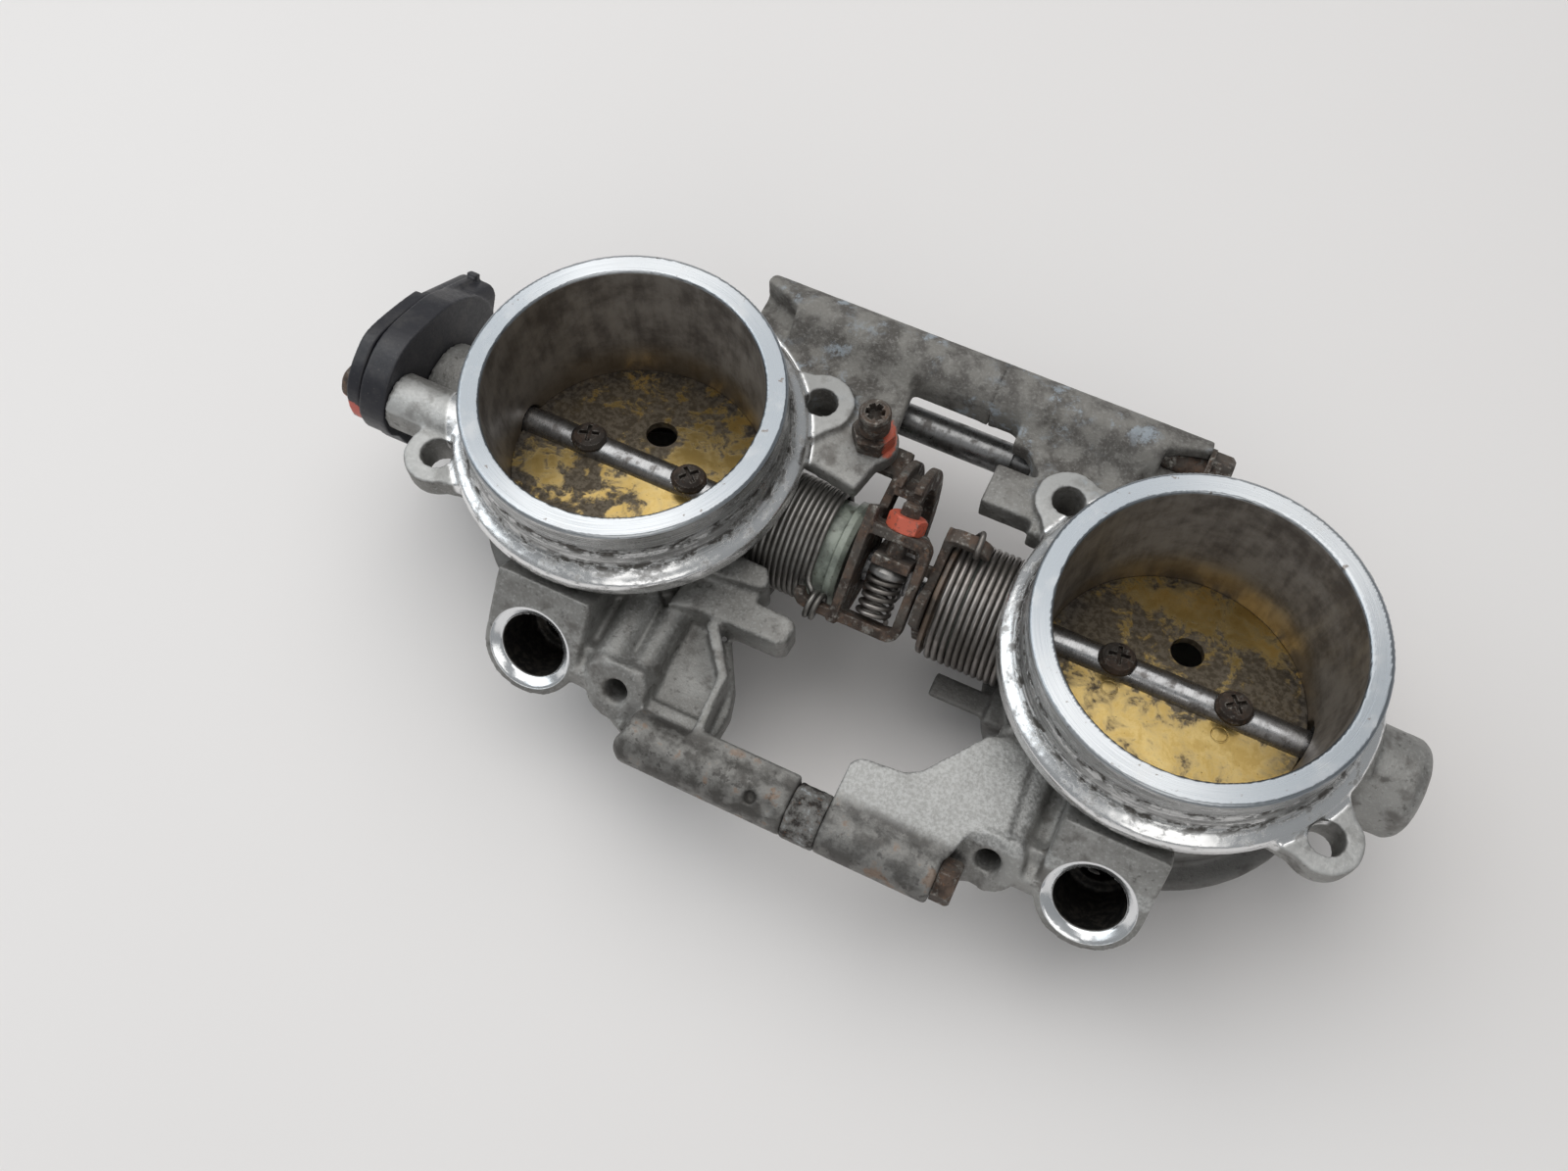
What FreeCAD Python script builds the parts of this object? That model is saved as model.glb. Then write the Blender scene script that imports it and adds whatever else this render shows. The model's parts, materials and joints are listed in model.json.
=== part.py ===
import FreeCAD, Part
import Sketcher
import os
import math
from FreeCAD import Vector, Placement, Rotation

# Twin throttle body: two castings side by side, their bores parallel to Z.
# Frame: origin on the left bore's axis in the plane of the air-inlet rim,
# +X towards the right bore (along the throttle shafts), +Y to the cross rail
# at the back, +Z up out of the inlet. Millimetres.

doc = FreeCAD.newDocument("throttle_body")
sheet = doc.addObject("Spreadsheet::Sheet", "dims")

# "_rad" is a radius, "_deep" a depth below the rim, "_dx" and "_dy" distances from the
# bore axis, and "_half" half a length
DIMS = [
    ("bore_gap", 120.0),        # distance between the two bore axes
    ("bore_rad", 27.0),         # bore at the throttle plate
    ("mouth_rad", 28.1),        # bore at the inlet rim
    ("spigot_rad", 32.6),       # inlet spigot, outside
    ("flange_rad", 36.6),       # ring flange under the spigot
    ("flange_top", 14.4),       # depth of the lug faces below the rim
    ("body_rad", 31.2),         # barrel between the flanges
    ("low_ring_rad", 36.0),     # lower ring
    ("outlet_rad", 31.8),       # outlet spigot
    ("body_len", 62.0),         # rim to outlet edge
    ("shaft_deep", 31.1),       # shaft axis
    ("shaft_rad", 3.5),
    ("bush_rad", 5.5),          # shaft bushes and seals, outside
    ("bush_bore", 3.54),
    ("bush_len", 9.0),
    ("lug_rad", 6.9),           # rounded ends of the flange lugs
    ("lug_hole", 3.3),
    ("lug_dx", 32.9),
    ("lug_dy", 22.1),
    ("plate_thick", 1.8),       # throttle plate
    ("plate_rad", 26.93),
    ("plate_hole", 3.45),
    ("screw_gap", 12.05),       # plate screws either side of the bore axis
    ("inj_dy", 47.0),           # middle of the injector face, in front of the bore
    ("inj_deep", 30.0),
    ("inj_rad", 6.9),           # injector seat
    ("inj_mouth", 9.0),
    ("inj_half", 10.5),         # half width of the injector boss
    ("fuel_dx", 20.0),          # fuel-rail screw hole beside each injector
    ("fuel_hole", 2.5),
    ("fuel_boss", 6.6),
    ("bar_dy", 54.3),           # front tie bar axis
    ("bar_deep", 30.6),
    ("bar_rad", 5.6),
    ("bar_bolt", 2.5),
    ("rail_dy", 41.0),          # rear cross rail axis
    ("rail_deep", 16.2),
    ("rail_rad", 6.1),
    ("rail_half", 49.0),
    ("rail_bolt", 2.5),
    ("tube_dy", 33.0),          # balance tube axis
    ("tube_deep", 27.0),
    ("tube_rad", 3.6),
    ("web_deep", 16.0),         # top of the webs that carry the rail
    ("web_thick", 4.6),
    ("hub_rad", 7.6),           # inner shaft hubs that carry the spring bushes
    ("hub_end", 12.4),          # hub faces either side of the middle
    ("boss_rad", 10.3),         # outer shaft bosses
    ("sensor_face", 48.0),      # sensor seat, outboard of the left bore axis
    ("sensor_dy", 12.9),        # sensor screws, from the shaft axis
    ("sensor_dz", 13.1),
    ("sensor_hole", 2.0),
    ("sensor_thick", 9.6),
    ("coil_rad_left", 12.0),    # return springs, centre of the wire
    ("coil_rad_right", 12.6),
    ("wire_left", 0.60),
    ("wire_right", 0.72),
    ("sheet_thick", 2.0),       # lever sheet
    ("quad_rad", 23.6),         # rim of the cable quadrant
    ("stop_rad", 2.5),          # idle-stop screw
]


class Dim:
    """A number together with the sheet expression that gives it."""

    def __init__(self, value, expr):
        self.value = float(value)
        self.expr = expr

    def __add__(self, other):
        other = dim(other)
        return Dim(self.value + other.value, f"({self.expr} + {other.expr})")

    def __radd__(self, other):
        return dim(other) + self

    def __sub__(self, other):
        other = dim(other)
        return Dim(self.value - other.value, f"({self.expr} - {other.expr})")

    def __rsub__(self, other):
        return dim(other) - self

    def __mul__(self, other):
        other = dim(other)
        return Dim(self.value * other.value, f"({self.expr} * {other.expr})")

    def __rmul__(self, other):
        return dim(other) * self

    def __truediv__(self, other):
        other = dim(other)
        return Dim(self.value / other.value, f"({self.expr} / {other.expr})")

    def __neg__(self):
        return Dim(-self.value, f"(0 - {self.expr})")


def dim(number):
    if isinstance(number, Dim):
        return number
    # a negative constant needs its own brackets inside an expression
    return Dim(number, f"({number:.6f})" if number < 0 else f"{number:.6f}")


class SheetDims:
    """Holds each driving dimension as an attribute named after its alias."""


dims = SheetDims()
for row, (alias, value) in enumerate(DIMS, 1):
    sheet.set(f"A{row}", alias)
    sheet.set(f"B{row}", str(value))
    sheet.setAlias(f"B{row}", alias)
    setattr(dims, alias, Dim(value, "dims." + alias))
doc.recompute()

# ---------------------------------------------------------------- places and directions
LEFT = 0                        # X of the two bore axes
RIGHT = dims.bore_gap
MID = dims.bore_gap / 2
SHAFT_Z = -dims.shaft_deep
BAR_Y = -dims.bar_dy
WEB_TOP = -dims.web_deep
SEAT_X = -dims.sensor_face
STOP_X, STOP_Y = MID - 14.2, 19.3       # idle-stop screw

UPRIGHT = Rotation()
TO_RIGHT = Rotation(Vector(0, 0, 1), Vector(1, 0, 0))       # these three turn local +Z
TO_LEFT = Rotation(Vector(0, 0, 1), Vector(-1, 0, 0))
TO_BACK = Rotation(Vector(0, 0, 1), Vector(0, 1, 0))
SIDE_ON = Rotation(Vector(1, 1, 1), 120)    # outline drawn in Y and Z, padded along +X
INWARD = {1: TO_RIGHT, -1: TO_LEFT}         # key: sign of X towards the middle


def tilt_x(degrees):
    return Rotation(Vector(1, 0, 0), degrees)


INJECTOR_TILT = tilt_x(50.0)    # local Y runs up the injector face, local Z is its normal
PLATE_TILT = tilt_x(-10.0)      # throttle plates shut
WINDOW_TILT = tilt_x(40.0)      # lever window: Y up the adjusting screw, Z out of the window
PORT_TILT = tilt_x(-125)        # local Z runs out along the sensor's connector
PORT_SIDE_TILT = tilt_x(-35)    # local Y runs out along the sensor's connector


def on_shaft(x):
    return (x, 0, SHAFT_Z)


def on_bar(x):
    return (x, BAR_Y, -dims.bar_deep)


def on_rail(x):
    return (x, dims.rail_dy, -dims.rail_deep)


def on_tube(x):
    return (x, dims.tube_dy, -dims.tube_deep)


def at_sensor_screw(x, side):
    return (x, dims.sensor_dy * side, SHAFT_Z - dims.sensor_dz * side)


def offset(at, rotation, local):
    """The point reached from `at` by an offset in the rotated frame."""
    return tuple(base + step for base, step in zip(at, rotation.multVec(Vector(*local))))


def in_window(x, y, z):
    return offset((MID, -6.6, -21.5), WINDOW_TILT, (x, y, z))


# ---------------------------------------------------------------- document objects
def bind(obj, prop, value):
    if isinstance(value, Dim):
        setattr(obj, prop, value.value)
        obj.setExpression(prop, value.expr)
    else:
        setattr(obj, prop, value)


def place(obj, at, rotation=UPRIGHT):
    base = Vector(*[dim(c).value for c in at])
    obj.Placement = Placement(base, rotation)
    for axis, c in zip("xyz", at):
        if isinstance(c, Dim):
            obj.setExpression("Placement.Base." + axis, c.expr)
    return obj


def primitive(kind, at, rotation, **sizes):
    obj = doc.addObject("Part::" + kind, kind.lower())
    for prop, value in sizes.items():
        bind(obj, prop, value)
    return place(obj, at, rotation)


def cyl(radius, length, at, rotation=UPRIGHT):
    return primitive("Cylinder", at, rotation, Radius=radius, Height=length)


def x_cyl(radius, length, at):
    return cyl(radius, length, at, TO_RIGHT)


def cone(radius1, radius2, length, at, rotation=UPRIGHT):
    return primitive("Cone", at, rotation, Radius1=radius1, Radius2=radius2, Height=length)


def box(size_x, size_y, size_z, at, rotation=UPRIGHT):
    return primitive("Box", at, rotation, Length=size_x, Width=size_y, Height=size_z)


def x_ring(radius, wire, at):
    return primitive("Torus", at, TO_RIGHT, Radius1=radius, Radius2=wire)


def fuse(parts):
    obj = doc.addObject("Part::MultiFuse", "fuse")
    obj.Shapes = list(parts)
    obj.Refine = True
    return obj


def cut(base, *tools):
    tool = tools[0] if len(tools) == 1 else fuse(tools)
    obj = doc.addObject("Part::Cut", "cut")
    obj.Base = base
    obj.Tool = tool
    obj.Refine = True
    return obj


def common(base, tool):
    obj = doc.addObject("Part::Common", "common")
    obj.Base = base
    obj.Tool = tool
    return obj


def group(parts):
    obj = doc.addObject("Part::Compound", "group")
    obj.Links = list(parts)
    return obj


def pin_start(sketch, edge, kind, axis, coord):
    """Hold one coordinate of the edge's start point."""
    size = dim(coord)
    if abs(size.value) < 1e-9 and not isinstance(coord, Dim):
        sketch.addConstraint(Sketcher.Constraint("PointOnObject", edge, 1, axis))
        return
    ends = (-1, 1, edge, 1)
    if size.value < 0:
        ends = (edge, 1, -1, 1)
        size = -size
    index = sketch.addConstraint(Sketcher.Constraint(kind, *ends, size.value))
    if isinstance(coord, Dim):
        sketch.setExpression(f"Constraints[{index}]", size.expr)


def draw_outline(sketch, outline):
    count = len(outline)
    first = len(sketch.Geometry)
    spots = [Vector(dim(a).value, dim(b).value, 0) for a, b in outline]
    for i in range(count):
        sketch.addGeometry(Part.LineSegment(spots[i], spots[(i + 1) % count]), False)
    for i in range(count):
        following = first + (i + 1) % count
        sketch.addConstraint(Sketcher.Constraint("Coincident", first + i, 2, following, 1))
    for i, (across, up) in enumerate(outline):
        pin_start(sketch, first + i, "DistanceX", -2, across)
        pin_start(sketch, first + i, "DistanceY", -1, up)


def new_body(plane, outlines):
    body = doc.addObject("PartDesign::Body", "body")
    sketch = body.newObject("Sketcher::SketchObject", "sketch")
    support = [f for f in body.Origin.OriginFeatures if f.Role == plane][0]
    sketch.AttachmentSupport = [(support, "")]
    sketch.MapMode = "FlatFace"
    for outline in outlines:
        draw_outline(sketch, outline)
    return body, sketch


def pad(outline, height, at=(0, 0, 0), rotation=UPRIGHT, openings=()):
    """A closed outline, with openings, padded along its own +Z."""
    body, sketch = new_body("XY_Plane", [outline, *openings])
    feature = body.newObject("PartDesign::Pad", "pad")
    feature.Profile = sketch
    bind(feature, "Length", height)
    body.Tip = feature
    return place(body, at, rotation)


def revolve(outline, at=(0, 0, 0), rotation=UPRIGHT):
    """A (radius, height) outline revolved about its own Z."""
    body, sketch = new_body("XZ_Plane", [outline])
    feature = body.newObject("PartDesign::Revolution", "revolution")
    feature.Profile = sketch
    feature.ReferenceAxis = (sketch, ["V_Axis"])
    feature.Angle = 360.0
    body.Tip = feature
    return place(body, at, rotation)


def coil(radius, wire, pitch, height):
    helix = doc.addObject("Part::Helix", "helix")
    bind(helix, "Radius", radius)
    helix.Pitch = pitch
    helix.Height = height
    section = doc.addObject("Part::Circle", "circle")
    bind(section, "Radius", wire)
    place(section, (radius, 0, 0), tilt_x(90))
    sweep = doc.addObject("Part::Sweep", "coil")
    sweep.Sections = [section]
    sweep.Spine = (helix, ["Edge1"])
    sweep.Solid = True
    sweep.Frenet = True
    return sweep


# ---------------------------------------------------------------- outlines
def polar(radius, degrees, x=0, y=0):
    angle = math.radians(degrees)
    return (x + radius * math.cos(angle), y + radius * math.sin(angle))


def arc(x, y, radius, start, end, runs=5):
    return [polar(radius, start + (end - start) * i / runs, x, y) for i in range(runs + 1)]


def hexagon(flats):
    return [polar(flats / math.sqrt(3.0), 60 * i) for i in range(6)]


def smooth(points, runs=3):
    """Closed Catmull-Rom curve through the points, as short straight runs."""
    curve = []
    count = len(points)
    for i in range(count):
        near = (points[i - 1], points[i], points[(i + 1) % count], points[(i + 2) % count])
        for step in range(runs):
            t = step / runs
            curve.append(tuple(
                0.5 * (2 * p1 + (p2 - p0) * t + (2 * p0 - 5 * p1 + 4 * p2 - p3) * t * t
                       + (3 * p1 - p0 - 3 * p2 + p3) * t ** 3)
                for p0, p1, p2, p3 in zip(*near)))
    return curve


PIECES = []


def piece(label, shape):
    shape.Label = label
    PIECES.append(shape)


# ---------------------------------------------------------------- both castings
# In these functions `bore_x` is the bore axis and `inward` the sign of X to the middle.
TAPER_TOP, TAPER_END = -9.0, -22.0      # the bore narrows between these heights
RIM_BREAK, OUTLET_BREAK = 0.25, 0.4     # chamfers on the bore's edges
RING_BOTTOM = -49.6
LUG_THICK, LUG_FOOT = 5.2, 3.4
INJECTOR_LONG = 31.0


def barrel(bore_x):
    spigot, flange, body = dims.spigot_rad, dims.flange_rad, dims.body_rad
    ring, outlet, bore, mouth = dims.low_ring_rad, dims.outlet_rad, dims.bore_rad, dims.mouth_rad
    length = dims.body_len
    return revolve([
        (mouth + RIM_BREAK, 0), (spigot - 0.45, 0), (spigot, -0.45), (spigot, -5.4),
        (spigot - 0.6, -5.9), (spigot - 0.6, -8.3), (spigot - 0.05, -8.8),
        (spigot - 0.05, -10.2), (spigot + 0.5, -11.5), (spigot + 1.7, -12.5),
        (flange - 1.6, -12.9), (flange - 0.5, -13.4), (flange, -14.5), (flange, -16.9),
        (flange - 0.9, -17.9), (body + 0.6, -18.6), (body, -20.0), (body, -44.6),
        (ring - 0.6, -45.4), (ring, -46.0), (ring, -48.6), (ring - 0.6, -49.2),
        (outlet, RING_BOTTOM), (outlet, -(length - 0.6)), (outlet - 0.6, -length),
        (bore + OUTLET_BREAK, -length), (bore, -(length - OUTLET_BREAK)),
        (bore, TAPER_END), (mouth, TAPER_TOP), (mouth, -RIM_BREAK),
    ], (bore_x, 0, 0))


def barrel_core(bore_x):
    """Everything the air passes through."""
    bore, mouth, length = dims.bore_rad, dims.mouth_rad, dims.body_len
    return revolve([
        (0, 2.0), (mouth + RIM_BREAK, 2.0), (mouth + RIM_BREAK, 0), (mouth, -RIM_BREAK),
        (mouth, TAPER_TOP), (bore, TAPER_END), (bore, -(length - OUTLET_BREAK)),
        (bore + OUTLET_BREAK, -length), (bore + OUTLET_BREAK, -(length + 2)),
        (0, -(length + 2)),
    ], (bore_x, 0, 0))


def under_cut(bore_x):
    """Clears the space around the lower ring and, below it, around the outlet spigot."""
    around_ring = cut(box(150, 150, 40, (bore_x - 75, -75, -85.0)),
                      cyl(dims.low_ring_rad, 42, (bore_x, 0, -86.0)))
    around_outlet = cut(box(80, 80, RING_BOTTOM + 85.0, (bore_x - 40, -40, -85.0)),
                        cyl(dims.outlet_rad, 40, (bore_x, 0, -86.0)))
    return fuse([around_ring, around_outlet])


def lug(bore_x, side_x, side_y):
    """Rounded ear with straight flanks running into the ring flange."""
    lug_x, lug_y = dims.lug_dx.value * side_x, dims.lug_dy.value * side_y
    reach = math.hypot(lug_x, lug_y)
    dir_x, dir_y = lug_x / reach, lug_y / reach

    def radial(points):
        # (distance from the bore axis, distance across) to (x, y)
        return [(dir_x * a - dir_y * b, dir_y * a + dir_x * b) for a, b in points]

    w = dims.lug_rad.value
    ear = radial([(reach, w), (reach - 14.5, w + 6.5), (reach - 20, 0),
                  (reach - 14.5, -w - 6.5), (reach, -w)])
    foot = radial([(reach + 2, 4.6), (reach - 11, 5.5), (reach - 11, -5.5), (reach + 2, -4.6)])
    x, y = bore_x + dims.lug_dx * side_x, dims.lug_dy * side_y
    bottom = -(dims.flange_top + LUG_THICK)
    return [
        pad(ear, LUG_THICK, (bore_x, 0, bottom)),
        cyl(dims.lug_rad, LUG_THICK, (x, y, bottom)),
        cone(dims.lug_rad - 1.9, dims.lug_rad, LUG_FOOT, (x, y, bottom - LUG_FOOT)),
        pad(foot, LUG_FOOT, (bore_x, 0, bottom - LUG_FOOT)),
    ]


def lug_hole(bore_x, side_x, side_y):
    return cyl(dims.lug_hole, 20,
               (bore_x + dims.lug_dx * side_x, dims.lug_dy * side_y, -(dims.flange_top + 18)))


def from_injector(bore_x, x, z):
    return offset((bore_x, -dims.inj_dy, -dims.inj_deep), INJECTOR_TILT, (x, 0, z))


def injector_boss(bore_x):
    half = dims.inj_half
    return [
        box(2 * half, 14.9, INJECTOR_LONG,
            from_injector(bore_x, -half.value, -INJECTOR_LONG), INJECTOR_TILT),
        cyl(half, INJECTOR_LONG, from_injector(bore_x, 0, -INJECTOR_LONG), INJECTOR_TILT),
    ]


def injector_bore(bore_x):
    tools = [cone(dims.inj_rad, dims.inj_mouth + 0.6, 2.0,
                  from_injector(bore_x, 0, -1.4), INJECTOR_TILT)]
    # radius, length, bottom: the seat, then two narrower steps into the barrel
    for radius, length, bottom in ((dims.inj_rad, 15.0, -15.0), (4.6, 9.0, -23.0),
                                   (2.4, 20.0, -36.0)):
        tools.append(cyl(radius, length, from_injector(bore_x, 0, bottom), INJECTOR_TILT))
    return tools


def from_fuel_post(bore_x, inward, z):
    return offset((bore_x + dims.fuel_dx * inward, -dims.inj_dy - 1.0, -dims.inj_deep),
                  INJECTOR_TILT, (0, 0, z))


def fuel_post(bore_x, inward):
    """Screw boss inboard of the injector, its back and the step that joins the two."""
    w = dims.fuel_boss.value
    back = [(-w, 0), (w, 0), (w - 0.1, 3.4), (w - 1.9, 6.5), (1.9 - w, 6.5), (0.1 - w, 3.4)]
    near, far = (1.0 - w) * inward, -(w + 4.6) * inward
    step = [(far, -3.0), (near, -3.0), (near, 5.2), (far + 0.8 * inward, 5.2)]
    bottom = from_fuel_post(bore_x, inward, -25.0)
    return [
        cyl(dims.fuel_boss, 25.0, bottom, INJECTOR_TILT),
        pad(back, 24.4, bottom, INJECTOR_TILT),
        pad(step, 20.0, from_fuel_post(bore_x, inward, -23.0), INJECTOR_TILT),
    ]


def fuel_thread(bore_x, inward, deep):
    hole = dims.fuel_hole
    return [
        cyl(hole, deep + 2.0, from_fuel_post(bore_x, inward, -deep), INJECTOR_TILT),
        cone(hole, hole + 1.2, 1.2, from_fuel_post(bore_x, inward, -0.8), INJECTOR_TILT),
        # clears the space above the face
        cyl(dims.fuel_boss + 0.02, 9.0, from_fuel_post(bore_x, inward, 0), INJECTOR_TILT),
    ]


def shared_parts(bore_x, inward):
    return [barrel(bore_x), *lug(bore_x, -inward, -1), *lug(bore_x, inward, 1),
            *injector_boss(bore_x), *fuel_post(bore_x, inward)]


def shared_cuts(bore_x, inward, thread_deep):
    return [barrel_core(bore_x), under_cut(bore_x),
            lug_hole(bore_x, -inward, -1), lug_hole(bore_x, inward, 1),
            *injector_bore(bore_x), *fuel_thread(bore_x, inward, thread_deep)]


def inner_hub(bore_x, inward):
    """The hub under the spring bush, with its wider root."""
    return [cyl(10.4, 9.0, on_shaft(bore_x + 26 * inward), INWARD[inward]),
            cyl(dims.hub_rad, MID - dims.hub_end - 24, on_shaft(bore_x + 24 * inward),
                INWARD[inward])]


def rail(start_x, length):
    """Half-round beam: round top, straight legs."""
    legs = 4.4
    return [x_cyl(dims.rail_rad, length, on_rail(start_x)),
            box(length, 2 * dims.rail_rad, legs,
                (start_x, dims.rail_dy - dims.rail_rad, -dims.rail_deep - legs))]


def rail_cuts(bolt_x, slot_x):
    """Bolt hole, and the slot that hollows the rail from below."""
    return [x_cyl(dims.rail_bolt + 0.03, 60.0, on_rail(bolt_x)),
            box(34.0, 6.4, 9.0, (slot_x, dims.rail_dy - 3.2, -28.0))]


def tube_socket(bore_x, inward):
    start, length = bore_x + 27.0 * inward, 16.0
    box_x = start if inward > 0 else start - length
    return [cyl(6.2, length, on_tube(start), INWARD[inward]),
            box(length, 10.0, 10.0, (box_x, dims.tube_dy - 9, -(dims.tube_deep + 5.0)))]


def tube_socket_bore(bore_x, inward):
    return [cyl(dims.tube_rad + 0.25, 14.0, on_tube(bore_x + 34.0 * inward), INWARD[inward]),
            cyl(2.4, 12.0, on_tube(bore_x + 26.0 * inward), INWARD[inward])]


def hose_clearance(bore_x, box_x):
    """Arc about the bore, swept out of the rail's end round the inlet hose."""
    sweep = cut(cyl(43.6, 8.6, (bore_x, 0, -16.0)),
                cyl(dims.flange_rad - 2, 20, (bore_x, 0, -25)))
    return common(sweep, box(11.4, 24, 12, (box_x, 24.0, -16.6)))


SEAT_RUNOUT = 8         # how far a bush seat's cutter runs past the bush
RIB_BOTTOM = -37.2
FLOOR_BOTTOM, FLOOR_THICK = -37.5, 4.0

# ---------------------------------------------------------------- left casting
# (x, y) outlines; the two slopes up to the rail are (y, z)
SHELF = [(9.0, 29), (11.2, 37.5), (24.0, 37.5), (48.2, 35.5), (49.6, 18.8), (47.2, 7.2),
         (34.4, 9.2), (26, 12)]
LEFT_GUSSET = [(22, 20), (24.5, 37), (46.5, 35), (44.0, 31)]
LEFT_SLOPE = [(30.6, -16.3), (33.6, -14.8), (36.4, -12.2), (40.0, -11.4), (40.0, -20.6),
              (30.6, -20.6)]
LEFT_FLOOR = [(8, -28), (8, -46), (25, -54), (38, -54), (40.7, -50), (39.9, -36.8),
              (32.6, -27), (26, -20)]
BENT_RIB = [(30.6, -28.0), (32.6, -26.4), (39.9, -36.2), (40.7, -50.6), (38.7, -50.6),
            (37.9, -37.0)]
LOW_RIB = [(35.4, -26.6), (41.0, -36.2), (42.6, -41.6), (41.9, -50.4), (38.8, -50.4),
           (38.8, -37.4), (34.0, -28.4)]
SPRING_ARM = [(24, -14), (38, -14.2), (38, -19.8), (46.2, -20.2), (47.6, -21.4),
              (47.4, -25.4), (45.6, -26.6), (28.0, -26.6), (22, -28)]
ARM_ROOT = [(26, -13), (37.4, -13.2), (39.4, -16.2), (38.4, -18.0), (26, -19.5)]
ARM_BOTTOM = -33.4


def left_shaft_bosses():
    return [
        x_cyl(dims.boss_rad, dims.sensor_face - 22, on_shaft(SEAT_X)),
        *[x_cyl(6.1, dims.sensor_face - 20, at_sensor_screw(SEAT_X, side)) for side in (-1, 1)],
        box(20.0, 12.0, 24.0, (-38.0, -6.0, SHAFT_Z - 12.0)),
        *inner_hub(LEFT, 1),
    ]


def left_back():
    """Idle-stop shelf, gusset, left half of the rail and the tube socket."""
    web_bottom = -(dims.web_deep + dims.web_thick)
    return [
        pad(SHELF, dims.web_thick, (0, 0, web_bottom)),
        cyl(5.4, dims.web_thick, (STOP_X, STOP_Y, web_bottom)),
        pad(LEFT_GUSSET, 9.0, (0, 0, WEB_TOP - 9.0)),
        *rail(MID - dims.rail_half, dims.rail_half + 5.0),
        pad(LEFT_SLOPE, 35.4, (12.2, 0, 0), SIDE_ON),
        *tube_socket(LEFT, 1),
    ]


def left_front():
    """Left half of the tie bar, the floor and ribs behind it, and the spring arm."""
    return [
        # bar with a coned left end, and two blocks behind its axis
        x_cyl(dims.bar_rad, 35.0, on_bar(MID - 33.0)),
        cone(4.0, dims.bar_rad, 1.8, on_bar(MID - 34.8), TO_RIGHT),
        box(23.5, 5.8, 9.0, (MID - 21.5, BAR_Y, -34.8)),
        box(13.5, 9.0, 5.6, (MID - 34.5, BAR_Y, -37.0)),
        # floor, block and two round ribs between the bar and the barrel
        pad(LEFT_FLOOR, FLOOR_THICK, (0, 0, FLOOR_BOTTOM)),
        box(16.6, 24.0, 7.2, (9.6, -48.0, RIB_BOTTOM)),
        cyl(3.9, 20.0, (16.3, -46.0, -29.9), TO_BACK),
        cyl(2.9, 22.0, (23.0, -49.5, -30.1), TO_BACK),
        pad(BENT_RIB, 11.4, (0, 0, RIB_BOTTOM)),
        pad(LOW_RIB, 5.0, (0, 0, RIB_BOTTOM)),
        pad(SPRING_ARM, 8.2, (0, 0, ARM_BOTTOM)),
        pad(ARM_ROOT, 11.0, (0, 0, ARM_BOTTOM)),
    ]


def bar_recesses():
    """Two round recesses and a slit along the top front of the bar."""
    bar = dims.bar_rad.value
    tools = []
    # x from the middle, tilt, radius, depth
    for x, degrees, radius, deep in ((-5.4, 28.0, 1.3, 1.8), (-2.0, 34.0, 1.6, 0.8)):
        tilt = tilt_x(degrees)
        tools.append(cyl(radius, 4.0, offset(on_bar(MID + x), tilt, (0, 0, bar - deep)), tilt))
    tilt = tilt_x(37.0)
    slit, slit_deep = 0.7, 1.5
    corner = offset(on_bar(MID - 1.6), tilt, (0, -slit / 2, bar - slit_deep))
    tools.append(box(4.2, slit, 4.0, corner, tilt))
    return tools


def left_housing():
    solid = fuse(shared_parts(LEFT, 1) + left_shaft_bosses() + left_back() + left_front())
    seat = dims.bush_len + SEAT_RUNOUT
    return cut(
        solid, *shared_cuts(LEFT, 1, thread_deep=13.0),
        x_cyl(dims.shaft_rad + 0.4, 120.0, on_shaft(-60)),
        x_cyl(dims.bush_rad, seat, on_shaft(SEAT_X - 6)),
        x_cyl(dims.bush_rad, seat, on_shaft(MID - dims.hub_end - dims.bush_len - 2)),
        x_cyl(7.6, 5.4, on_shaft(SEAT_X - 2.0)),        # recess for the sensor's collar
        *[x_cyl(dims.sensor_hole, 14.0, at_sensor_screw(SEAT_X - 1, side)) for side in (-1, 1)],
        cyl(dims.stop_rad + 0.03, 20.0, (STOP_X, STOP_Y, -35.0)),
        *rail_cuts(MID - 38.0, MID - 31.0),
        x_cyl(dims.bar_bolt + 0.03, 34.0, on_bar(MID - 28.0)),
        *tube_socket_bore(LEFT, 1),
        hose_clearance(LEFT, 8.0),
        *bar_recesses())


piece("left_housing", left_housing())

# ---------------------------------------------------------------- right casting
# (x, y) outlines with x from the middle, except the gusset rise, which is from there too;
# the slope up to the rail is (y, z)
RIGHT_WEB = [(9.2, 37.0), (19.2, 26.6), (19.6, 22.0), (30, 8), (52, 30), (38.0, 36.6)]
RIGHT_GUSSET = [(12.5, 36.0), (22, 26), (36, 20), (40, 36)]
RIGHT_SLOPE = [(30.6, -16.5), (33.6, -14.9), (36.4, -12.3), (40.0, -11.4), (40.0, -20.6),
               (30.6, -20.6)]
FRONT_WEB = [(9.0, -54.0), (9.0, -42.2), (9.9, -40.9), (11.4, -40.2), (14.6, -39.9),
             (19.0, -39.6), (22.0, -37.9), (30.8, -26.0), (40, -22), (42, -48), (33, -54)]
RIGHT_FLOOR = [(30, -54), (52, -46), (52, -26), (32, -22)]


def right_shaft_bosses():
    """Closed outer boss with a rounded end, its block, and the inner hub."""
    boss = dims.boss_rad
    profile = [(0, 0), (0, 24.2), (7.4, 24.2), (9.2, 23.3), (boss, 21.6), (boss + 0.6, 0)]
    return [
        revolve(profile, on_shaft(RIGHT + 25.0), TO_RIGHT),
        box(20.0, 11.0, 24.0, (RIGHT + 18.0, -5.5, SHAFT_Z - 12.0)),
        *inner_hub(RIGHT, -1),
    ]


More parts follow.
